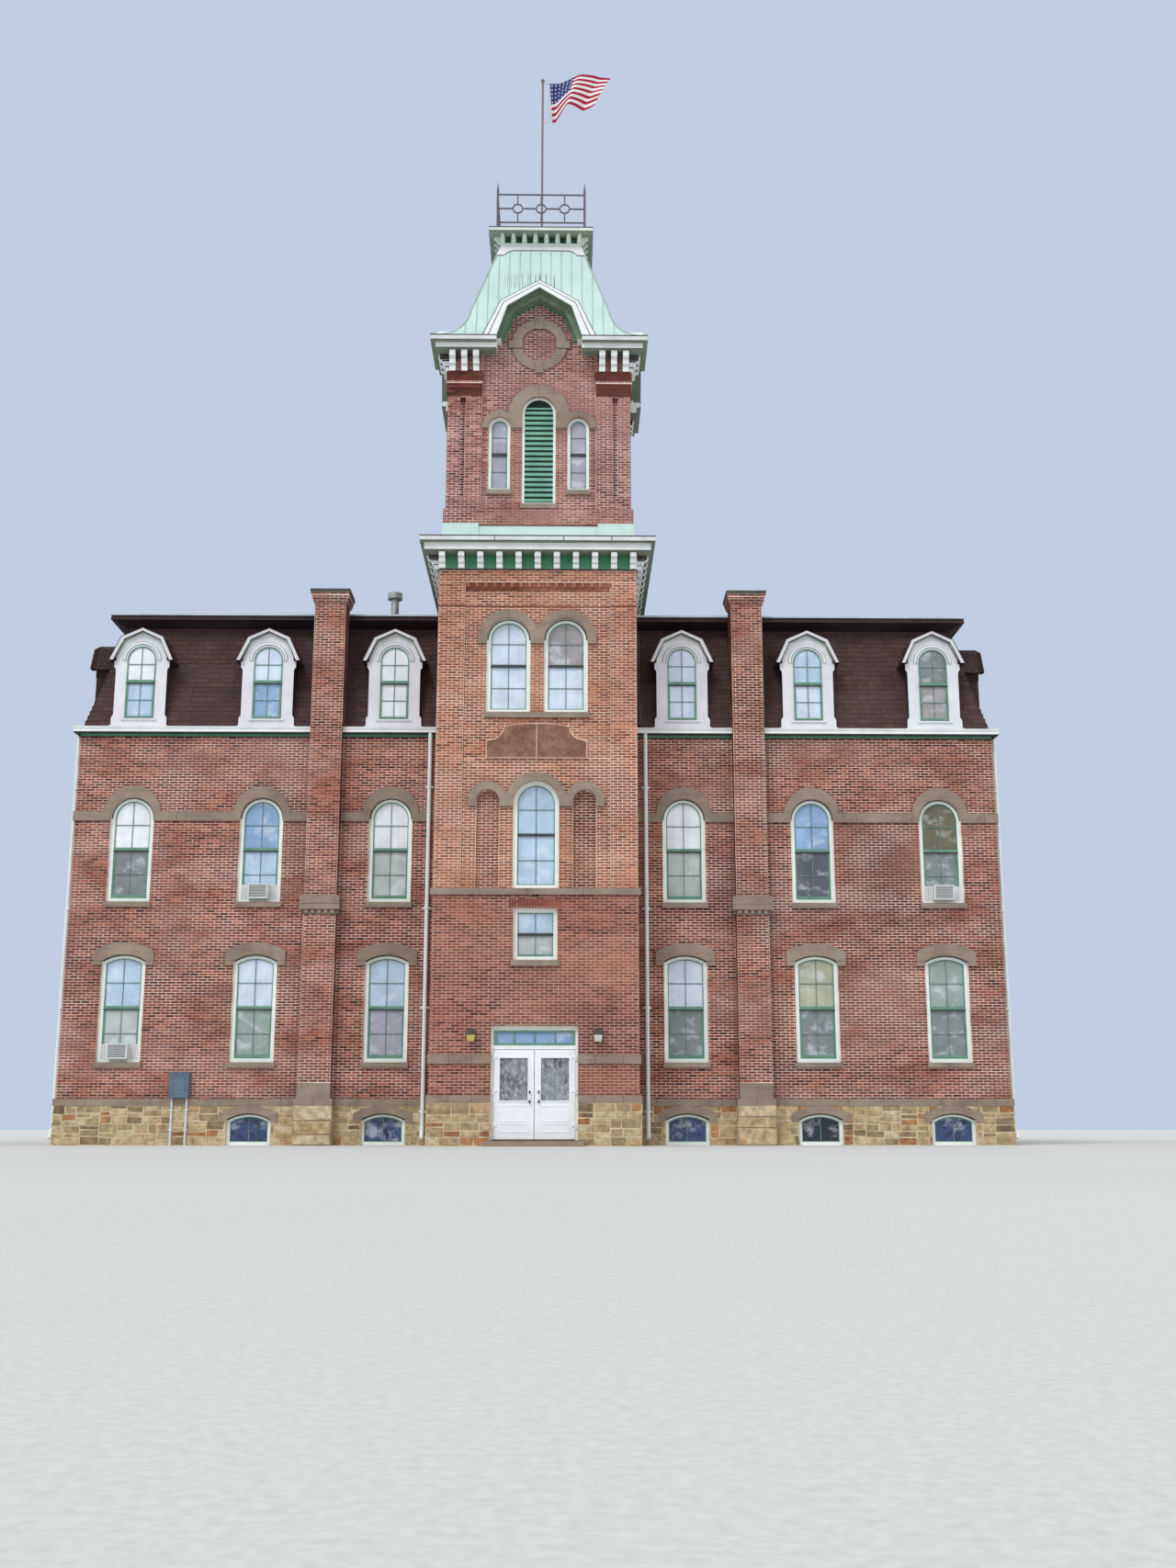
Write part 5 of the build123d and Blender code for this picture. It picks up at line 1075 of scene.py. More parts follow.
def sash(face, window, border, rows=4, columns=2, rail="green", foot=0.085, lip=lip_width):
    """Green sash round a window's glass, its meeting rail and the painted shadow at it, and its glazing bars.
    """
    face = moved(face, -rail_depth)
    ring = border + lip
    half = window.width / 2 - ring
    ends = (window.u - half, window.u + half)
    low, high = window.sill + border, window.head - border
    middle = (window.sill + window.head) / 2
    if lip:
        casing_lips.plate(face, arch(window, border - 0.004), [arch(window, ring)], 0.0, 0.038)
    sashes.plate(face, arch(window, ring), [arch(window, ring + sash_width)], 0.0, 0.028)
    if rail == "green":
        sashes.box(face, *ends, middle - 0.014, middle + 0.05, 0.0, 0.05)
        rail_shadows.box(face, *ends, middle - 0.044, middle - 0.014, 0.0, 0.049)
        for s in (-1, 1):
            stile = (window.u + s * half, window.u + s * (half - stile_width))
            sashes.box(face, *stile, low, middle, 0.0, 0.022)
    if rail == "dark":
        rail_shadows.box(face, *ends, middle - 0.031, middle + 0.031, 0.0, 0.05)
    if foot:
        sashes.box(face, *ends, low, low + lip + foot, 0.0, 0.03)
    for k in range(1, columns):
        u = window.u - half + 2 * half * k / columns
        bars.box(face, u - bar / 2, u + bar / 2, low, high - 0.01, 0.0, bar)
    for k in range(1, rows):
        level = low + (high - low) * k / rows
        if rail and 2 * k == rows:
            continue
        reach = min(half, half_at(window, level + border) - border)
        bars.box(face, window.u - reach, window.u + reach, level - bar / 2, level + bar / 2, 0.0, bar)


def head_shadow(face, window):
    """Painted shadow in the gap between a window's arched head and the stone over it."""
    head_shadows.band(face, arch(window)[2:], arch(window, 0.03)[2:], -0.01, 0.004)


def glaze(face, window, border, looks):
    """Two panes of glass in a window, above and below its middle, with a look for each."""
    outline = arch(window, border)
    half = window.width / 2 - border
    middle = (window.sill + window.head) / 2
    split = [(window.u - half, middle), (window.u + half, middle)]
    for points, look in ((split + outline[2:], looks[0]), (outline[:2] + split[::-1], looks[1])):
        panes.plate(face, points, [], -rail_depth - 0.008, -rail_depth, pane_looks[look][0])


front_first = [("sky", "haze"), ("bright", "sage"), ("sky", "mauve"), ("bright", "slate"),
               ("straw", "slate"), ("sage", "slate")]
front_second = [("glare", "slate"), ("blue", "sky"), ("glare", "haze"), ("glare", "haze"),
                ("blue", "dusk"), ("moss", "slate")]
front_dormers = [("glare", "sky"), ("bright", "blue"), ("glare", "glare"), ("bright", "bright"),
                 ("sky", "bright"), ("slate", "taupe")]
dormer_border = 0.014
plain_looks = ["sky", "bright", "haze", "mauve", "blue", "slate"]
generator = np.random.default_rng(7)
for face, _, columns, basement in block:
    set_back = moved(face, -frame_setback)
    dormer_face = moved(face, rail_depth + 0.004 - dormer_inset)
    for k, u in enumerate(columns):
        chosen = generator.choice(plain_looks, 6)
        pairs = [chosen[:2], chosen[2:4], chosen[4:]]
        if face is front:
            pairs = [front_first[k], front_second[k], front_dormers[k]]
        for window, pair in ((at(first_window, u), pairs[0]), (at(second_window, u), pairs[1])):
            sash(set_back, window, frame_border)
            head_shadow(set_back, window)
            glaze(set_back, window, frame_border, pair)
        sash(dormer_face, at(dormer_window, u), dormer_border, foot=0.05, lip=0.0)
        glaze(dormer_face, at(dormer_window, u), dormer_border, pairs[2])
    for u in basement:
        look = "night" if face is front and u == front_columns[4] else "deep"
        sash(set_back, at(basement_window, u), 0.06, rows=1, rail="", foot=0.02)
        head_shadow(set_back, at(basement_window, u))
        glaze(set_back, at(basement_window, u), 0.06, (look, look))
tower_setback = moved(recessed, -frame_setback)
for window, rows, foot, looks in (
        (stair_window, 2, 0.05, ("sky", "haze")), (tower_window, 4, 0.0, ("sky", "sky")),
        (paired_windows[0], 4, 0.0, ("bright", "bright")), (paired_windows[1], 4, 0.0, ("taupe", "bright"))):
    sash(tower_setback, window, frame_border, rows=rows, rail="dark", foot=foot)
    glaze(tower_setback, window, frame_border, looks)
for window in paired_windows:
    head_shadow(tower_setback, window)

# Belfry windows, and painted shadow: the dark head of each louvre over its slats and the dark gaps between
# them
louvre_shadows = Shape()
slat_pitch = 0.1365
for face in belfry_faces:
    set_back = moved(face, -belfry_recess - 0.03)
    for window in side_lights:
        sash(set_back, window, 0.05, columns=1, rail="dark", foot=0.0)
        glaze(set_back, window, 0.05, ("mauve", "mauve"))
    first_gap = louvre_window.sill + 0.06 + 0.78 * slat_pitch
    rows = [(-0.355, 0.355, z, z + 0.44 * slat_pitch) for z in np.arange(first_gap, 17.93, slat_pitch)]
    louvre_shadows.boxes(set_back, rows, -0.03, -0.008)
    louvre_shadows.plate(set_back, [p for p in arch(louvre_window, 0.06) if p[1] > 17.99], [], -0.006, 0.004)
casing_lips.build("casing_lips", "white_paint")
sashes.build("window_sashes", "sash_green")
bars.build("glazing_bars", "bar_grey")
rail_shadows.build("meeting_rail_shadows", "painted_shadow_dark")
head_shadows.build("window_head_shadows", "painted_shadow_dark")
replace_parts(panes.build("window_panes", "pane", "glass"), "window_glass", "tower_glass")
louvre_shadows.build("louvre_painted_shadows", "louvre_shadow_dark", "louvre")

# Dormers: white front boards with stepped edges and ring mouldings, the hoods' white fronts, and grey-green
# painted shade between the mouldings and under the hoods
dormer_boards = Shape()
dormer_shade_lines = Shape()
dormer_caps = Shape()
board_half = [(0.69, 10.1), (0.69, 10.38), (0.675, 10.43), (0.64, 10.47), (0.64, 11.6), (0.645, 11.66),
              (0.69, 11.72), (0.69, 11.88), (0.64, 11.965), (0.473, 12.404), (0, 12.62)]
hood_bands = [(dormer_caps, 0.0, 0.12, 0.012), (dormer_boards, 0.12, 0.62, 0.008),
              (dormer_shade_lines, 0.62, 0.82, -0.03), (dormer_shade_lines, 0.34, 0.38, 0.01)]
mouldings = [(dormer_boards, 0.0, 0.03, 0.03), (dormer_boards, 0.05, 0.105, 0.045),
             (dormer_shade_lines, 0.036, 0.048, 0.034), (dormer_shade_lines, 0.105, 0.116, 0.034)]
for face, _, columns, _ in block:
    board = moved(face, -dormer_inset)
    for u in columns:
        window = at(dormer_window, u)
        dormer_boards.plate(board, symmetric(board_half, u), [arch(window)], -0.002, 0.012)
        for shape, inner, outer, proud in mouldings:
            shape.band(board, grown_head(window, outer), grown_head(window, inner), 0.01, proud)
        for low, high, half, proud in ((10.335, 10.375, 0.44, 0.05), (10.16, 10.2, 0.72, 0.04)):
            dormer_boards.box(board, u - half, u + half, low, high, 0.0, proud)
        edge = symmetric([(0.81, 11.87), (0.53, 12.48), (0, 12.715)], u)
        foot = symmetric([(0.64, 11.87), (0.42, 12.37), (0, 12.585)], u)
        for shape, start, end, proud in hood_bands:
            outer, inner = (mixed(edge, foot, share) for share in (start, end))
            shape.band(board, outer, inner, 0.0, dormer_hood_reach + proud)
dormer_boards.build("dormer_fronts", "board_white")
dormer_shade_lines.build("dormer_painted_shade_lines", "soffit_green_and_shade")
dormer_caps.build("dormer_hood_caps", "shingle", "shingle")

# Gutters: two tiers with a groove, over a green board, with painted shadow lines over and under the board and
# under the gutter
green_boards = Shape()
shadow_lines_and_marks = Shape()
lips = Shape()
for face, half, _, _ in block:
    for a, b, _ in stretches(face, half):
        board, gutter = ((a - reach * (a == -half), b + reach * (b == half))
                         for reach in (board_reach, eaves_reach))
        green_boards.box(face, *board, wall_high, board_top, 0.0, board_reach)
        shadow_lines_and_marks.box(face, *board, wall_high - 0.014, wall_high, 0.0, 0.034)
        shadow_lines_and_marks.box(face, *gutter, board_top - 0.006, board_top + 0.01, 0.05, eaves_reach + 0.002)
        shadow_lines_and_marks.box(face, *board, board_top - 0.03, board_top, 0.0, 0.05)
        lips.box(face, *gutter, 10.085, 10.145, 0.0, eaves_reach + 0.014)
green_boards.build("green_boards", "green_paint")
lips.build("gutter_lips", "gutter_grey_and_shade")

# The tower's cornice: gutter mouldings, soffits, the green frieze, the brackets' blocks and painted shadow
# lines
green_frieze = Shape()
cornice_lips = Shape()
soffits = Shape()
verge_soffits = Shape()
bosses = Shape()


def soffit(shape, outer, inner, level):
    """Underside of a cornice, grey-green darkened with painted shade, between two squares about the tower's
    axis.
    """
    shape.plate(tower_soffit, square(outer - 0.004), [square(inner)], -level - 0.001, -level + 0.004)


def bracket_blocks(face, u, low, high, reach, wall=0.0):
    """Painted shadow in the grooves between a bracket's blocks, beside its top block and along its top, and a
    round boss on its top block.
    """
    rise = high - low
    half = bracket_width / 2
    for share, bottom, top in ((0.43, 0.27, 0.33), (0.69, 0.59, 0.66)):
        shadow_lines_and_marks.box(face, u - half, u + half, low + bottom * rise, low + top * rise,
                       wall, wall + share * (reach - wall))
    bosses.plate(moved(face, reach), circle(u, low + 0.84 * rise, bracket_width * 0.24), [], -0.002, 0.012)
    for side in (-1, 1):
        shadow_lines_and_marks.box(face, u + side * half, u + side * (half + 0.014), low + 0.68 * rise, high - 0.004,
                       wall, reach - 0.03)
    shadow_lines_and_marks.box(face, u - half, u + half, high - 0.02, high, reach - 0.06, reach + 0.003)


bracket_spacing = (2 * tower_half - bracket_width) / 10
gap_half = (bracket_spacing - bracket_width) / 2
for face in tower_faces:
    for u in [bracket_spacing * (k - 4.5) for k in range(10)]:
        green_frieze.box(face, u - gap_half, u + gap_half, tower_brick_top, tower_top,
                         0.0, frieze_proud + 0.004)
    for k in range(-5, 6):
        bracket_blocks(face, bracket_spacing * k, tower_brick_top, tower_top, bracket_reach, frieze_proud)
    # Painted shadow under the frieze
    shadow_lines_and_marks.box(face, -tower_half, tower_half, tower_brick_top - 0.02, tower_brick_top + 0.006, 0.0, 0.036)
fascia_half = tower_half + fascia_reach
gutter_half = tower_half + cornice_reach
soffit(soffits, fascia_half, tower_half + frieze_proud, tower_top)
soffit(soffits, gutter_half, fascia_half, fascia_top)
# Grey lips, and painted shadow lines at the cornice's edges
for shape, half, width, low, high in (
        (cornice_lips, gutter_half, 0.01, fascia_top + 0.03, fascia_top + 0.12),
        (shadow_lines_and_marks, gutter_half, 0.006, fascia_top - 0.001, fascia_top + 0.02),
        (shadow_lines_and_marks, gutter_half, 0.014, cornice_top - 0.022, cornice_top + 0.002),
        (shadow_lines_and_marks, fascia_half, 0.004, tower_top - 0.001, tower_top + 0.014)):
    shape.ring(tower_plan, half, half, width, low, high)
for u in (-1.05, 0.62, 1.78):
    shadow_lines_and_marks.box(moved(tower_front, cornice_reach), u, u + 0.02, fascia_top + 0.02, cornice_top - 0.02,
                   0.0, 0.012)

# The belfry's corner cornices and gable hoods, whose outlines run over the top from right to left
hood_half = [(1.42, belfry_top), (0.978, 20.69), (0, 21.255)]
hood_outline = symmetric(hood_half)
verge_outline = symmetric([(verge_foot, belfry_top), (0.805, 20.545), (0, 21.045)])
gable_outline = symmetric([(0.95, belfry_top), (0.645, 20.52), (0, 20.87)])
inside_gable = [(u * 0.99, v - 0.008) for u, v in gable_outline]
inside_verge = [(u * 0.992, v - 0.006) for u, v in verge_outline]
frieze_outline = [(u * 0.965, v - 0.03 * (v > belfry_top)) for u, v in gable_outline]
fascia_half = belfry_half + belfry_fascia_reach
for face in belfry_faces:
    rim = moved(face, belfry_reach)
    at_board = moved(face, belfry_fascia_reach)
    for side in (-1, 1):
        gutter = (side * verge_foot, side * cornice_half)
        # Painted shadow lines at the gutter's top and bottom and under the fascia
        shadow_lines_and_marks.box(rim, *gutter, belfry_top - 0.022, belfry_top + 0.002, -0.02, 0.01)
        shadow_lines_and_marks.box(rim, *gutter, belfry_fascia_top - 0.002, belfry_fascia_top + 0.016, -0.02, 0.004)
        shadow_lines_and_marks.box(at_board, side * verge_foot, side * fascia_half, belfry_wall_top - 0.002,
                       belfry_wall_top + 0.012, -0.02, 0.003)
        # The grey lip is painted shade in the gutter's hollow
        cornice_lips.box(rim, *gutter, belfry_fascia_top + 0.03, belfry_top - 0.045, 0.0, 0.007)
        for n in range(3):
            u = side * (belfry_half - 0.08 - 0.295 * n)
            bracket_blocks(face, u, belfry_bracket_low, belfry_wall_top, 0.28)
    # Dark lines in the hoods are painted shadow between their mouldings
    for shape, start, end, proud in ((shadow_lines_and_marks, 0.4, 0.46, 0.003), (shadow_lines_and_marks, 0.0, 0.06, 0.004),
                                     (bosses, 0.5, 0.95, 0.01), (bosses, 0.1, 0.36, 0.006)):
        outer, inner = (mixed(hood_outline, verge_outline, share) for share in (start, end))
        shape.band(rim, outer, inner, 0.0, proud)
    # Verge soffits: green-grey, with painted shade
    verge_soffits.band(face, gable_outline, inside_gable, -belfry_recess, verge_reach - 0.002)
    verge_soffits.band(face, verge_outline, gable_outline, verge_reach - 0.002, verge_reach + 0.003)
    verge_soffits.band(face, verge_outline, inside_verge, verge_reach, belfry_reach - 0.002)
    green_frieze.band(face, gable_outline, frieze_outline, -belfry_recess - 0.001, 0.03)
corner_start = verge_foot + 0.004
for x, y in ((-1, -1), (-1, 1), (1, -1), (1, 1)):
    for level, reach in ((belfry_wall_top, fascia_half - 0.004), (belfry_fascia_top, cornice_half - 0.004)):
        soffits.box(tower_soffit, x * corner_start, x * reach, y * corner_start, y * reach,
                    -level - 0.001, -level + 0.004)
green_frieze.build("green_friezes", "green_paint")
cornice_lips.build("cornice_lips", "gutter_grey_and_shade")
verge_soffits.build("verge_soffits", "verge_green_and_shade")
soffits.build("cornice_soffits", "soffit_green_and_shade")
bosses.build("bracket_bosses", "white_worn")
shadow_lines_and_marks.build("cornice_shadow_lines_and_marks", "edge_dark")


# Seams and hips of the tower roof
def circle_through(a, b, c, steps):
    """Points on the arc from one point through a second to a third."""
    (ax, ay), (bx, by), (cx, cy) = a, b, c
    d = 2 * (ax * (by - cy) + bx * (cy - ay) + cx * (ay - by))
    p, q, r = (x * x + y * y for x, y in (a, b, c))
    ux = (p * (by - cy) + q * (cy - ay) + r * (ay - by)) / d
    uy = (p * (cx - bx) + q * (ax - cx) + r * (bx - ax)) / d
    start, end = math.atan2(ay - uy, ax - ux), math.atan2(cy - uy, cx - ux)
    radius = math.hypot(ax - ux, ay - uy)
    turn = (end - start + math.pi) % (2 * math.pi) - math.pi
    turns = [start + turn * k / steps for k in range(steps + 1)]
    return [(ux + radius * math.cos(t), uy + radius * math.sin(t)) for t in turns]


profile = circle_through((cornice_half, belfry_top), (2.08, 20.21), (roof_hip_half, roof_hip), 8)
profile.append((roof_top_half, roof_top))
profile_d, profile_z = zip(*profile)
# Seams darker than the sheets, painted shade along the ribs
seam_height = 0.012
seam_half = 0.009
seam_spacing = 0.27
seam_corners = oblong(-seam_half, seam_half, -0.01, seam_height)
seams = Shape()
for face in axis_faces:
    for k in range(-9, 10):
        u = k * seam_spacing
        low = float(np.interp(abs(u), *zip(*hood_half[::-1])))
        high = roof_top
        if abs(u) > 1.04:
            high = float(np.interp(-abs(u) - 0.03, [-d for d in profile_d], profile_z))
        levels = [low] + [z for z in profile_z if low < z < high] + [high]
        for ends in zip(levels[:-1], levels[1:]):
            points = []
            for z in ends:
                base = face.origin + face.n * float(np.interp(z, profile_z, profile_d)) + face.v * z
                points += [base + face.u * (u + du) + face.n * dn for du, dn in seam_corners]
            seams.add(points, [[3, 2, 6, 7], [1, 5, 6, 2], [0, 3, 7, 4]])
    hip = [face.origin + (face.n + face.u) * d + face.v * z for d, z in profile]
    for a, b in zip(hip[:-1], hip[1:]):
        seams.round_bar(a, b, 0.022, sides=6)
seams.build("roof_seams", "seam_metal_shaded", "roof_metal")

# The deck's cornice: scalloped board, painted shade in dark green on the frieze between its brackets, and
# painted shadow lines at its edges and under the board
scallops = Shape()
gaps = Shape()
deck_shadow_lines = Shape()
deck_soffit = Shape()
upper_in = roof_hip_half - roof_top_half
upper_run = math.hypot(upper_in, roof_top - roof_hip)
board_drop = 0.3
half_scallop = [(roof_top_half, 0.0), (roof_top_half + board_drop * upper_in / upper_run, -board_drop),
                (0.98, -board_drop), (0.93, -0.255), (0.86, -0.18), (0.78, -0.135), (0.68, -0.12)]
scallop = [(-u, v) for u, v in half_scallop] + half_scallop[::-1]
deck_spacing = 2 * 1.015 / 7
soffit(deck_soffit, deck_cornice_half, roof_top_half + 0.005, deck_frieze_top)
deck_soffit.build("deck_soffit", "soffit_green_and_shade")
for face in axis_faces:
    up = (face.v * (roof_top - roof_hip) - face.n * upper_in) / upper_run
    sloped = Face(face.origin + face.n * roof_top_half + face.v * roof_top, face.u, up, np.cross(face.u, up))
    scallops.plate(sloped, scallop, [], -0.002, 0.022)
    deck_shadow_lines.plate(sloped, [(u, v - 0.012 * (v < 0)) for u, v in scallop], [], -0.002, 0.014)
    for u in [deck_spacing * k for k in range(-3, 4)]:
        gaps.box(moved(face, roof_top_half), u - 0.075, u + 0.075, deck_bracket_low + 0.005,
                 deck_frieze_top - 0.01, 0.0, 0.006)
    for low, high, proud in ((deck_cornice_top - 0.02, deck_cornice_top + 0.002, 0.008),
                             (deck_frieze_top, deck_frieze_top + 0.012, 0.003)):
        deck_shadow_lines.box(moved(face, deck_cornice_half), -deck_cornice_half, deck_cornice_half, low, high,
                      -0.02, proud)
scallops.build("deck_scallop_boards", "board_white")
gaps.build("deck_frieze_gaps", "shaded_frieze_green")
deck_shadow_lines.build("deck_painted_shadow_lines", "edge_dark")

# Doors: raised mouldings, dark pulls, the transom's bars and its glass
door_face = moved(tower_front, -door_plane)
pull_y = tower_front_y + door_plane - 0.055
for side, body in ((-1, "left_door"), (1, "right_door")):
    mouldings = Shape()
    a, b = ordered(side * 0.15, side * 0.79)
    mouldings.border(door_face, a - 0.03, b + 0.03, 0.98, 1.995, 0.03, 0.03, 0.012)
    for low, high in ((0.3, 0.5), (0.54, 0.9)):
        mouldings.border(door_face, a, b, low, high, 0.02, 0.02, 0.008)
    mouldings.build(f"{body}_mouldings", "door_white", "door_paint", body)
    pulls = Shape()
    x = side * 0.105
    for low, high in ((0.955, 1.02), (1.165, 1.23)):
        pulls.round_bar((x, pull_y, low), (x, pull_y, high), 0.015, sides=12)
        pulls.box(door_face, x - 0.02, x + 0.02, low, high, 0.0, 0.012)
    pulls.build(f"{body}_pull", "dark_metal", "iron", body)
transom = Shape()
for u in (-0.4675, 0.0, 0.4675):
    transom.box(door_face, u - 0.012, u + 0.012, 2.25, 2.59, -rail_depth, -0.01)
transom.plate(door_face, oblong(-0.935, 0.935, 2.25, 2.59), [oblong(-0.87, 0.87, 2.3, 2.55)],
              -rail_depth, 0.004)
transom.build("transom_bars", "sash_green")
transom_panes = Shape()
transom_panes.box(door_face, -0.93, 0.93, 2.255, 2.585, -rail_depth - 0.008, -rail_depth,
                  pane_looks["blue"][0])
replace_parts(transom_panes.build("transom_panes", "pane", "glass"), "transom_glass")

# Lenses of the wall lamps
lenses = Shape()
lamp_x, lamp_reach = 1.45, 0.13
for side in (-1, 1):
    points = [(side * lamp_x + dx, tower_front_y - lamp_reach + dy, level)
              for level, half in ((2.33, 0.073), (2.47, 0.0975)) for dx, dy in square(half)]
    lenses.add(points, [[0, 3, 2, 1]] + box_quads.tolist(), 0.0 if side < 0 else 1.0)
lenses.build("lamp_lenses", "lamp_glass", "glass")

# Window coolers: grilles and the panels that close the gaps beside them
grilles = Shape()
fillers = Shape()
cooler_half, cooler_height, cooler_reach = 0.245, 0.36, 0.15
for u, window in ((front_columns[0], first_window), (front_columns[1], second_window),
                  (front_columns[5], second_window)):
    bottom = window.sill + frame_border
    rows = [(u - 0.21, u + 0.21, z, z + 0.016) for z in [bottom + 0.04 + 0.034 * k for k in range(9)]]
    grilles.boxes(moved(front, cooler_reach), rows, -0.002, 0.006)
    for side in (-1, 1):
        for k in range(4):
            start = cooler_half + 0.052 * k
            fillers.box(moved(front, -frame_setback), u + side * start, u + side * (start + 0.044), bottom,
                        bottom + cooler_height, -rail_depth, 0.002 + 0.006 * (k % 2))
grilles.build("cooler_grilles", "cooler_grille", "cooler")
fillers.build("cooler_panels", "cooler_plastic", "cooler")

# Electric cabinet: the frames on its door and the pale conduits
cabinet_x, cabinet_half, cabinet_low, cabinet_high, cabinet_depth = -8.42, 0.23, 1.09, 1.69, 0.19
cabinet_trim = Shape()
for inset, width in ((0.02, 0.012), (0.09, 0.008)):
    half = cabinet_half - inset
    low, high = cabinet_low + inset, cabinet_high - inset
    cabinet_trim.border(moved(front, cabinet_depth), cabinet_x - half, cabinet_x + half, low, high,
                        half * width / 0.2, (high - low) / 2 * width / 0.27, 0.008)
cabinet_trim.build("cabinet_trim", "cabinet_paint", "cabinet")
conduits = Shape()
for x in (cabinet_x - 0.175, cabinet_x + 0.175):
    y = front_y - table_proud - 0.022
    conduits.round_bar((x, y, 0.0), (x, y, cabinet_low), 0.025, sides=12)
    for level in (0.35, 0.8):
        conduits.box(moved(front, table_proud), x - 0.05, x + 0.05, level, level + 0.03, -0.06, 0.05)
conduits.build("cabinet_conduits", "conduit_paint", "pipe")

# Straps of the downspouts
straps = Shape()
pipe_stand = 0.11
for face in [wall_face(x, front_y, 0, -1) for x in (-2.67, 2.67)] + [
        wall_face(side * half_width, front_y + 0.25, side, 0) for side in (-1, 1)]:
    foot = face.origin + face.n * pipe_stand
    for level in (0.75, 3.2, 5.6, 8.6):
        straps.round_bar(foot + face.v * level, foot + face.v * (level + 0.05), 0.058, sides=16)
        straps.box(face, -0.09, 0.09, level + 0.005, level + 0.045, 0.0, pipe_stand)
straps.build("downspout_straps", "pipe_white", "pipe")

# Flag: a sheet that streams from its hoist, its fly lifted and its lower corner folded back
flag_width, flag_length = 1.22, 1.83
hoist_x, hoist_top = 0.197, 28.78
across_steps, along_steps = 24, 60
top_path = [(0.0, 0.0), (0.55, 0.15), (1.0, 0.27), (1.36, 0.28), (1.69, 0.19)]
middle_path = [(0.035, -0.61), (0.5, -0.32), (0.9, -0.2), (1.2, -0.18), (1.47, -0.22)]
bottom_path = [(0.07, -1.215), (0.36, -0.95), (0.62, -0.78), (0.92, -0.78), (1.24, -0.8)]


def smooth_path(path):
    """Points evenly spaced along a smooth curve through a path."""
    knots = np.linspace(0, 1, len(path))
    fine = np.linspace(0, 1, 400)
    xs, zs = (np.poly1d(np.polyfit(knots, values, 4))(fine) for values in zip(*path))
    run = np.r_[0, np.cumsum(np.hypot(np.diff(xs), np.diff(zs)))]
    places = np.linspace(0, run[-1], along_steps + 1)
    return np.stack([np.interp(places, run, xs), np.interp(places, run, zs)], axis=1)


def flag_row(share):
    """One thread of the flag from hoist to fly: the path it shows, with its spare length in folds."""
    weights = ((1 - share) * (1 - 2 * share), 4 * share * (1 - share), share * (2 * share - 1))
    flat = sum(weight * path for weight, path in zip(weights, paths))
    points = [(hoist_x + flat[0][0], 0.0, hoist_top + flat[0][1])]
    for k in range(along_steps):
        dx, dz = flat[k + 1] - flat[k]
        spare = math.sqrt(max(0.0, (flag_length / along_steps) ** 2 - math.hypot(dx, dz) ** 2))
        phase = 2 * math.pi * (1.5 * (k + 0.5) / along_steps + 0.12 * share)
        x, y, z = points[-1]
        points.append((x + dx, y + spare * math.copysign(1.0, math.cos(phase)), z + dz))
    return points


paths = [smooth_path(path) for path in (top_path, middle_path, bottom_path)]
grid = np.array([flag_row(j / across_steps) for j in range(across_steps + 1)]).transpose(1, 0, 2)
for _ in range(6):
    grid[1:-1, :, 1] = (grid[:-2, :, 1] + 2 * grid[1:-1, :, 1] + grid[2:, :, 1]) / 4
grid[..., 1] += tower_y
row = across_steps + 1
faces = [(a, a + 1, a + row + 1, a + row)
         for i in range(along_steps) for a in range(i * row, i * row + across_steps)]
mesh = bpy.data.meshes.new("flag_sheet")
mesh.from_pydata(grid.reshape(-1, 3).tolist(), [], faces)
layer = mesh.uv_layers.new(name="UVMap")
for loop in mesh.loops:
    i, j = divmod(loop.vertex_index, row)
    layer.data[loop.index].uv = (i / along_steps, j / across_steps)
mesh.polygons.foreach_set("use_smooth", [True] * len(mesh.polygons))
mesh.materials.append(paints["flag"])
flag_sheet = link("flag_sheet", mesh, "building")
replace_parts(flag_sheet, "flag")

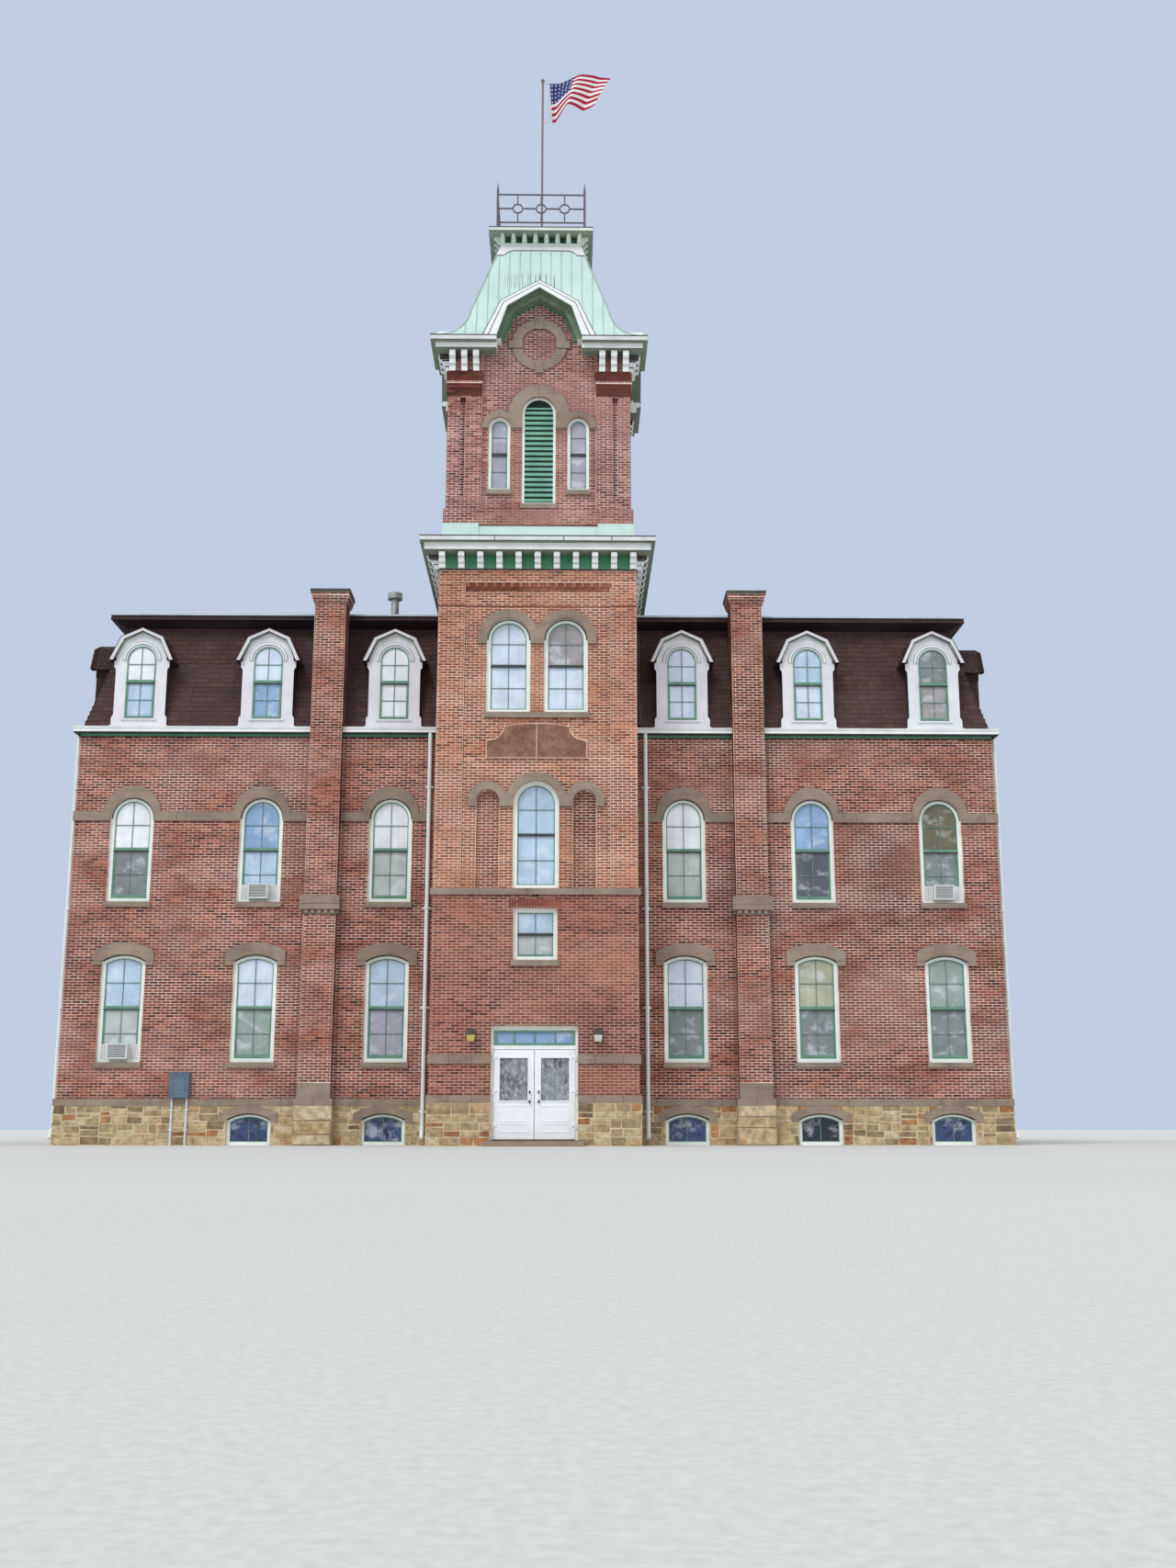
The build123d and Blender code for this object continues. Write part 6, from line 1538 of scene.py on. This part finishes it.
# Floor
floor_half = 400
floor_mesh = bpy.data.meshes.new("floor")
floor_mesh.from_pydata([(x, y, -0.002) for x, y in square(floor_half)], [], [(0, 1, 2, 3)])
floor_mesh.materials.append(paints["studio_floor"])
floor = bpy.data.objects.new("floor", floor_mesh)
bpy.context.scene.collection.objects.link(floor)

# Light: an even pale world behind its own backdrop colour, and two soft suns
world = bpy.data.worlds.new("studio")
bpy.context.scene.world = world
world.use_nodes = True
nodes, links = world.node_tree.nodes, world.node_tree.links
nodes.clear()
choose = nodes.new("ShaderNodeMixShader")
links.new(nodes.new("ShaderNodeLightPath").outputs["Is Camera Ray"], choose.inputs["Fac"])
for place, colour, strength in ((1, (0.9, 0.95, 1.0, 1), 0.75), (2, srgb(192, 205, 226), 1.0)):
    background = nodes.new("ShaderNodeBackground")
    background.inputs["Color"].default_value = colour
    background.inputs["Strength"].default_value = strength
    links.new(background.outputs[0], choose.inputs[place])
links.new(choose.outputs[0], nodes.new("ShaderNodeOutputWorld").inputs["Surface"])


def sun(name, azimuth, elevation, strength, angle):
    """Soft light from a direction, turned from straight in front towards the right."""
    data = bpy.data.lights.new(name, "SUN")
    data.energy = strength
    data.angle = math.radians(angle)
    lamp = bpy.data.objects.new(name, data)
    a, e = math.radians(azimuth), math.radians(elevation)
    towards = Vector((math.sin(a) * math.cos(e), -math.cos(a) * math.cos(e), math.sin(e)))
    lamp.rotation_euler = towards.to_track_quat("Z", "Y").to_euler()
    bpy.context.scene.collection.objects.link(lamp)


sun("key", -30, 48, 1.5, 25)
sun("fill", 60, 30, 0.4, 40)

# Camera
focal = 1735.9
picture_height = 1707
sensor = 36
camera_pitch = 12.176
camera_turn = 0.815
camera_data = bpy.data.cameras.new("camera")
camera_data.lens = focal / picture_height * sensor
camera_data.clip_end = 2000
camera = bpy.data.objects.new("camera", camera_data)
camera.location = (0.697, -45.499, 0.4)
camera.rotation_euler = (math.radians(90 + camera_pitch), 0, math.radians(-camera_turn))
bpy.context.scene.collection.objects.link(camera)
bpy.context.scene.camera = camera
bpy.context.scene.view_settings.view_transform = "Standard"
